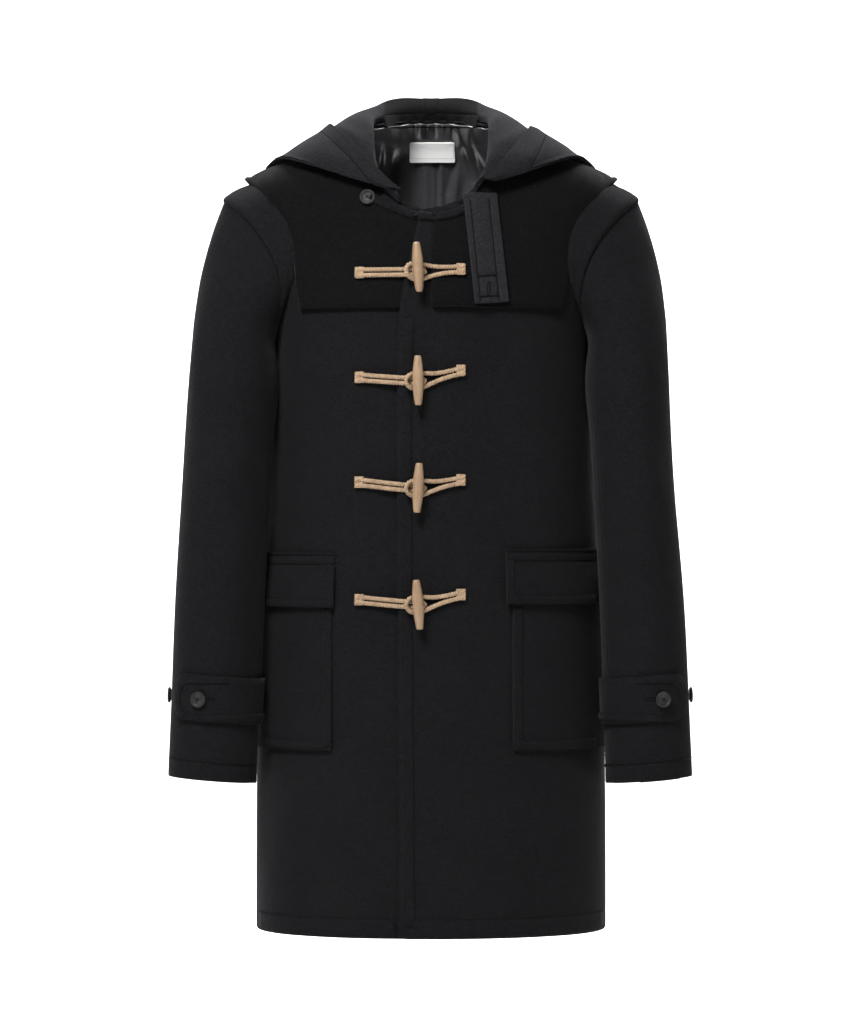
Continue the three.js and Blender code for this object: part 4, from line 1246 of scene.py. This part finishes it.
class COAT_OT_toggles(bpy.types.Operator):
    """Wooden toggles, their jute cords and loops, and the thread at the ends"""

    bl_idname = "coat.toggles"
    bl_label = "Toggles and cords"

    def execute(self, context):
        CLOTH_FRONT[:] = [PIECES["front_left"], PIECES["front_right"], PIECES["yoke_left"],
                          PIECES["yoke_right"]]
        lie, pitch = CORD + 0.0006, CORD + 0.00035
        for number, toggle in enumerate(TOGGLES, 1):
            z, middle = toggle["z"], -0.014
            rise, loop = toggle["cord_rise"], toggle["loop_rise"]
            cord = [(-0.083, z + rise + pitch, lie), (-0.070, z + rise * 0.8 + pitch, lie),
                    (-0.058, z + rise * 0.6 + pitch, lie), (-0.036, z + rise * 0.2 + pitch, lie),
                    (middle, z + pitch, lie), (middle + 0.006, z + pitch * 0.8, lie),
                    (middle + 0.0075, z, lie), (middle + 0.006, z - pitch * 0.8, lie),
                    (middle, z - pitch, lie), (-0.036, z + rise * 0.2 - pitch, lie),
                    (-0.058, z + rise * 0.6 - pitch, lie), (-0.070, z + rise * 0.8 - pitch, lie),
                    (-0.083, z + rise - pitch, lie)]
            spread, over = 3 * pitch + 0.0008, lie + 2 * CORD + 0.0026
            half = [(0.036, loop + pitch, lie), (0.026, loop * 0.8 + pitch, lie),
                    (0.016, loop * 0.6 + pitch, lie), (0.0, loop * 0.2 + pitch + 0.002, lie),
                    (middle, spread, lie), (middle - 0.009, 0.008, lie + 0.004),
                    (middle - 0.0135, 0.0034, over)]
            mirror = [(middle - 0.0135, -0.0034, over), (middle - 0.009, -0.008, lie + 0.004),
                      (middle, -spread, lie), (0.0, loop * 0.2 - pitch - 0.002, lie),
                      (0.016, loop * 0.6 - pitch, lie), (0.026, loop * 0.8 - pitch, lie),
                      (0.036, loop - pitch, lie)]
            routes = {
                "toggle_cord": cord,
                "loop_cord": [(x, z + height, lift) for x, height, lift in half + mirror],
            }
            for name, route in routes.items():
                obj = joined(f"{name}_{number}_jute", twisted(f"{name}_{number}", cord_path(route)))
                finish_piece(obj, MATERIALS["jute"], (f"{name}_{number}",))
                end_x, inward = (-0.083, 1) if name == "toggle_cord" else (0.036, -1)
                end_z = z + (rise if name == "toggle_cord" else loop)
                self.sew_end(f"{name}_{number}", end_x, end_z, inward, lie)
            self.turn_toggle(number, toggle)
        return {"FINISHED"}

    def sew_end(self, name, x, z, inward, lie):
        """The flattened, stitched end where both strands of a cord meet the cloth."""
        place, _ = from_front(CLOTH_FRONT, x, z)
        normal = front_normal(x, z)
        deselect()
        bpy.ops.mesh.primitive_cube_add(size=1)
        pad = bpy.context.object
        pad.name = f"{name}_end"
        pad.scale = (0.010, 0.0044, 0.0126)
        pad.location = place + normal * (lie * 0.86) + Vector((inward * 0.0032, 0, 0))
        bpy.ops.object.transform_apply(location=False, rotation=False, scale=True)
        pad.rotation_mode = "QUATERNION"
        pad.rotation_quaternion = Vector((0, -1, 0)).rotation_difference(normal)
        bpy.ops.object.transform_apply(location=True, rotation=True, scale=False)
        bpy.ops.object.mode_set(mode="EDIT")
        bpy.ops.mesh.select_all(action="SELECT")
        bpy.ops.mesh.subdivide(number_cuts=3)
        bpy.ops.mesh.bevel(offset=0.0003, segments=1)
        bpy.ops.object.mode_set(mode="OBJECT")
        rough = pad.modifiers.new("Subdivision", "SUBSURF")
        rough.levels = 1
        apply_modifiers(pad)
        points = coordinates(pad)
        ripple = 0.00055 * np.cos(points[:, 2] * 2 * math.pi / 0.0031) * np.sin(points[:, 0] * 900)
        points[:, 1] += ripple
        ragged = np.clip((x - points[:, 0]) * inward / 0.0018 + 0.4, 0, 1)
        points[:, 0] -= inward * ragged * 0.0009 * np.sin(points[:, 2] * 4100)
        set_coordinates(pad, points)
        smooth_shading(pad)
        finish_piece(pad, MATERIALS["jute"])
        rows = []
        for offset in (0.0014, 0.0052):
            row = []
            for i in range(13):
                at_z = z - 0.0068 + 0.0136 * i / 12
                found = pad.ray_cast(Vector((x + inward * offset, -0.6, at_z)), Vector((0, 1, 0)))
                if found[0]:
                    row.append((found[1] + Vector((0, -0.0002, 0)), Vector((0, -1, 0))))
            if len(row) > 2:
                rows.append(stitches(f"{name}_row", row, 0.0024, 0.0019, 0.0003))
        if rows:
            finish_piece(joined(f"{name}_sewing", rows), MATERIALS["straw_thread"])

    def turn_toggle(self, number, toggle):
        """A turned toggle: flat ends, a full middle and a shallow ring where its cord passes."""
        z = toggle["z"]
        low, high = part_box(f"toggle_{number}")
        centre = (low + high) / 2
        profile = [(0.0, -0.0278), (0.0030, -0.0278), (0.0037, -0.0272), (0.0041, -0.0255),
                   (0.0048, -0.0205), (0.0056, -0.0145), (0.0062, -0.0085), (0.00645, -0.0034),
                   (0.0061, -0.0026), (0.0059, 0.0), (0.0061, 0.0026), (0.00645, 0.0034),
                   (0.0062, 0.0085), (0.0056, 0.0145), (0.0048, 0.0205), (0.0041, 0.0255),
                   (0.0037, 0.0272), (0.0030, 0.0278), (0.0, 0.0278)]
        deselect()
        bpy.ops.mesh.primitive_circle_add(vertices=3, radius=0.001)
        obj = bpy.context.object
        mesh = bpy.data.meshes.new("toggle_profile")
        mesh.from_pydata([(r, 0, h) for r, h in profile], [(i, i + 1) for i in range(len(profile) - 1)], [])
        obj.data = mesh
        select(obj)
        bpy.ops.object.mode_set(mode="EDIT")
        bpy.ops.mesh.select_all(action="SELECT")
        bpy.ops.mesh.spin(steps=28, angle=2 * math.pi, center=(0, 0, 0), axis=(0, 0, 1))
        bpy.ops.mesh.select_all(action="SELECT")
        bpy.ops.mesh.remove_doubles(threshold=1e-5)
        bpy.ops.mesh.normals_make_consistent(inside=False)
        bpy.ops.object.mode_set(mode="OBJECT")
        obj.name = f"toggle_{number}_wood"
        subdivision = obj.modifiers.new("Subdivision", "SUBSURF")
        subdivision.levels = 1
        apply_modifiers(obj)
        obj.rotation_euler = (0, -toggle["lean"], 0)
        obj.location = centre
        bpy.ops.object.transform_apply(location=True, rotation=True, scale=False)
        smooth_shading(obj)
        finish_piece(obj, MATERIALS["wood"], (f"toggle_{number}",))


class COAT_OT_buttons(bpy.types.Operator):
    """Four-hole buttons sewn to the cuffs and the hood"""

    bl_idname = "coat.buttons"
    bl_label = "Buttons"

    def execute(self, context):
        nodes = [f"cuff_button_{side}_{i}" for side in SIDES for i in (1, 2)] + ["hood_button"]
        for node in nodes:
            self.sew_button(node)
        for side in SIDES:
            hand = 1 if side == "left" else -1
            shift = 0.0035 if side == "left" else 0
            strap = PIECES[f"cuff_strap_{side}"]
            centre = hand * (0.250 - shift), -0.626
            buttonhole(f"cuff_buttonhole_{side}", [strap], centre[0], centre[1], 0.016, 0.0)
        return {"FINISHED"}

    def sew_button(self, node):
        """One turned button with its holes and crossed thread, laid in its node's place."""
        points = coordinates(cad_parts[node])
        centre = points.mean(0)
        _, _, axes = np.linalg.svd(points - centre, full_matrices=False)
        normal = Vector(axes[2])
        if normal.dot(Vector((points.mean(0)[0], points.mean(0)[1] + 0.05, 0))) < 0:
            normal = -normal
        along_axis = (points - centre) @ np.array(normal)
        base = Vector(centre) + normal * float(along_axis.min())
        profile = [(0.0, 0.0), (0.0066, 0.0), (0.0083, 0.0007), (0.0090, 0.0016), (0.0088, 0.0027),
                   (0.0080, 0.0034), (0.0072, 0.0033), (0.0064, 0.0024), (0.0052, 0.0020), (0.0, 0.0019)]
        mesh = bpy.data.meshes.new("button_profile")
        mesh.from_pydata([(r, 0, h) for r, h in profile], [(i, i + 1) for i in range(len(profile) - 1)], [])
        obj = bpy.data.objects.new(f"{node}_horn", mesh)
        bpy.context.scene.collection.objects.link(obj)
        select(obj)
        bpy.ops.object.mode_set(mode="EDIT")
        bpy.ops.mesh.select_all(action="SELECT")
        bpy.ops.mesh.spin(steps=32, angle=2 * math.pi, center=(0, 0, 0), axis=(0, 0, 1))
        bpy.ops.mesh.select_all(action="SELECT")
        bpy.ops.mesh.remove_doubles(threshold=1e-5)
        bpy.ops.mesh.normals_make_consistent(inside=False)
        bpy.ops.object.mode_set(mode="OBJECT")
        spots = [(math.cos(turn) * 0.0021, math.sin(turn) * 0.0021)
                 for turn in (math.pi / 4, 3 * math.pi / 4, 5 * math.pi / 4, 7 * math.pi / 4)]
        for x, y in spots:
            deselect()
            bpy.ops.mesh.primitive_cylinder_add(vertices=12, radius=0.0007, depth=0.01, location=(x, y, 0))
            drill = bpy.context.object
            cut = obj.modifiers.new("Hole", "BOOLEAN")
            cut.object = drill
            cut.operation = "DIFFERENCE"
            cut.solver = "EXACT"
            apply_modifiers(obj)
            bpy.data.objects.remove(drill)
        sewing = []
        for a, b in ((0, 2), (1, 3)):
            (ax, ay), (bx, by) = spots[a], spots[b]
            arc = [Vector((ax + (bx - ax) * i / 8, ay + (by - ay) * i / 8,
                           0.0014 + 0.0011 * math.sin(math.pi * i / 8) + 0.0002 * a)) for i in range(9)]
            sewing.append(tube("button_thread", arc, 0.00038, 8))
        cross = joined(f"{node}_thread", sewing)
        turn = Vector((0, 0, 1)).rotation_difference(normal)
        for piece in (obj, cross):
            select(piece)
            piece.rotation_mode = "QUATERNION"
            piece.rotation_quaternion = turn
            piece.location = base
            bpy.ops.object.transform_apply(location=True, rotation=True, scale=True)
        select(obj)
        bpy.ops.object.shade_smooth_by_angle(angle=math.radians(40))
        finish_piece(obj, MATERIALS["horn"], (node,))
        finish_piece(cross, MATERIALS["dark_thread"])


class COAT_OT_studio(bpy.types.Operator):
    """The pale floor, the soft lamps and the camera"""

    bl_idname = "coat.studio"
    bl_label = "Studio"

    def execute(self, context):
        studio = context.scene.duffle_coat_studio
        deselect()
        bpy.ops.mesh.primitive_plane_add(size=14, location=(0, 2.0, -1.35))
        floor = bpy.context.object
        floor.name = "floor"
        bpy.ops.object.mode_set(mode="EDIT")
        bpy.ops.mesh.select_all(action="DESELECT")
        bpy.ops.mesh.select_mode(type="EDGE")
        bpy.ops.object.mode_set(mode="OBJECT")
        for edge in floor.data.edges:
            edge.select = all(floor.data.vertices[v].co.y > 0 for v in edge.vertices)
        bpy.ops.object.mode_set(mode="EDIT")
        bpy.ops.mesh.extrude_region_move(TRANSFORM_OT_translate={"value": (0, 0, 9)})
        bpy.ops.mesh.select_all(action="SELECT")
        bpy.ops.mesh.bevel(offset=2.2, segments=14)
        bpy.ops.object.mode_set(mode="OBJECT")
        smooth_shading(floor)
        floor.data.materials.append(MATERIALS["floor"])
        world = context.scene.world or bpy.data.worlds.new("studio")
        context.scene.world = world
        world.use_nodes = True
        world.node_tree.nodes["Background"].inputs["Color"].default_value = (1, 1, 1, 1)
        world.node_tree.nodes["Background"].inputs["Strength"].default_value = studio.world
        self.lamp("key", (-0.9, -2.3, 2.3), (0, 0, -0.4), 1.1, studio.key_power)
        self.lamp("fill_left", (-3.0, -1.2, 0.2), (0, 0, -0.5), 1.8, studio.fill_power)
        self.lamp("fill_right", (3.0, -1.4, 0.2), (0, 0, -0.5), 1.8, studio.fill_power)
        self.lamp("top", (0.0, 1.3, 2.4), (0, 0, 0.0), 1.6, studio.key_power * 1.1)
        for name, x in (("backdrop_left", -3.2), ("backdrop_right", 3.2)):
            self.lamp(name, (x, 3.5, 0.6), (0, 9, -0.4), 2.0, studio.backdrop_power)
        deselect()
        bpy.ops.object.camera_add(location=(CAMERA_X, -CAMERA_DISTANCE, CAMERA_Z),
                                  rotation=(math.pi / 2, 0, 0))
        camera = bpy.context.object
        camera.data.lens = CAMERA_LENS
        camera.data.sensor_width = 36
        camera.data.sensor_fit = "AUTO"
        camera.data.clip_end = 50
        context.scene.camera = camera
        context.scene.view_settings.view_transform = "Standard"
        return {"FINISHED"}

    def lamp(self, name, place, aim, size, power):
        """One large soft lamp turned towards aim."""
        deselect()
        bpy.ops.object.light_add(type="AREA", location=place)
        light = bpy.context.object
        light.name = name
        light.data.shape = "SQUARE"
        light.data.size = size
        light.data.energy = power
        light.rotation_mode = "QUATERNION"
        light.rotation_quaternion = (Vector(aim) - Vector(place)).to_track_quat("-Z", "Y")


class COAT_PT_panel(bpy.types.Panel):
    """Lists the coat's settings and the steps that build it"""

    bl_idname = "COAT_PT_panel"
    bl_label = "Duffle coat"
    bl_space_type = "VIEW_3D"
    bl_region_type = "UI"
    bl_category = "Coat"

    def draw(self, context):
        for settings in (context.scene.duffle_coat, context.scene.duffle_coat_studio):
            for name in settings.bl_rna.properties.keys():
                if name not in ("rna_type", "name"):
                    self.layout.prop(settings, name)
        for operator in STEPS:
            self.layout.operator(operator.bl_idname)


STEPS = (COAT_OT_body, COAT_OT_sleeves, COAT_OT_hood, COAT_OT_lining, COAT_OT_pockets, COAT_OT_edges,
         COAT_OT_toggles, COAT_OT_buttons, COAT_OT_studio)
CLASSES = (CoatSettings, StudioSettings, *STEPS, COAT_PT_panel)


def register():
    """Registers the classes and the scene's settings."""
    for cls in CLASSES:
        bpy.utils.register_class(cls)
    bpy.types.Scene.duffle_coat = bpy.props.PointerProperty(type=CoatSettings)
    bpy.types.Scene.duffle_coat_studio = bpy.props.PointerProperty(type=StudioSettings)


def unregister():
    """Removes the settings and the classes."""
    del bpy.types.Scene.duffle_coat_studio
    del bpy.types.Scene.duffle_coat
    for cls in reversed(CLASSES):
        bpy.utils.unregister_class(cls)


def main():
    """Builds the coat and its studio."""
    register()
    for step in STEPS:
        group, name = step.bl_idname.split(".")
        getattr(getattr(bpy.ops, group), name)()
    deselect()


if __name__ == "__main__":
    main()
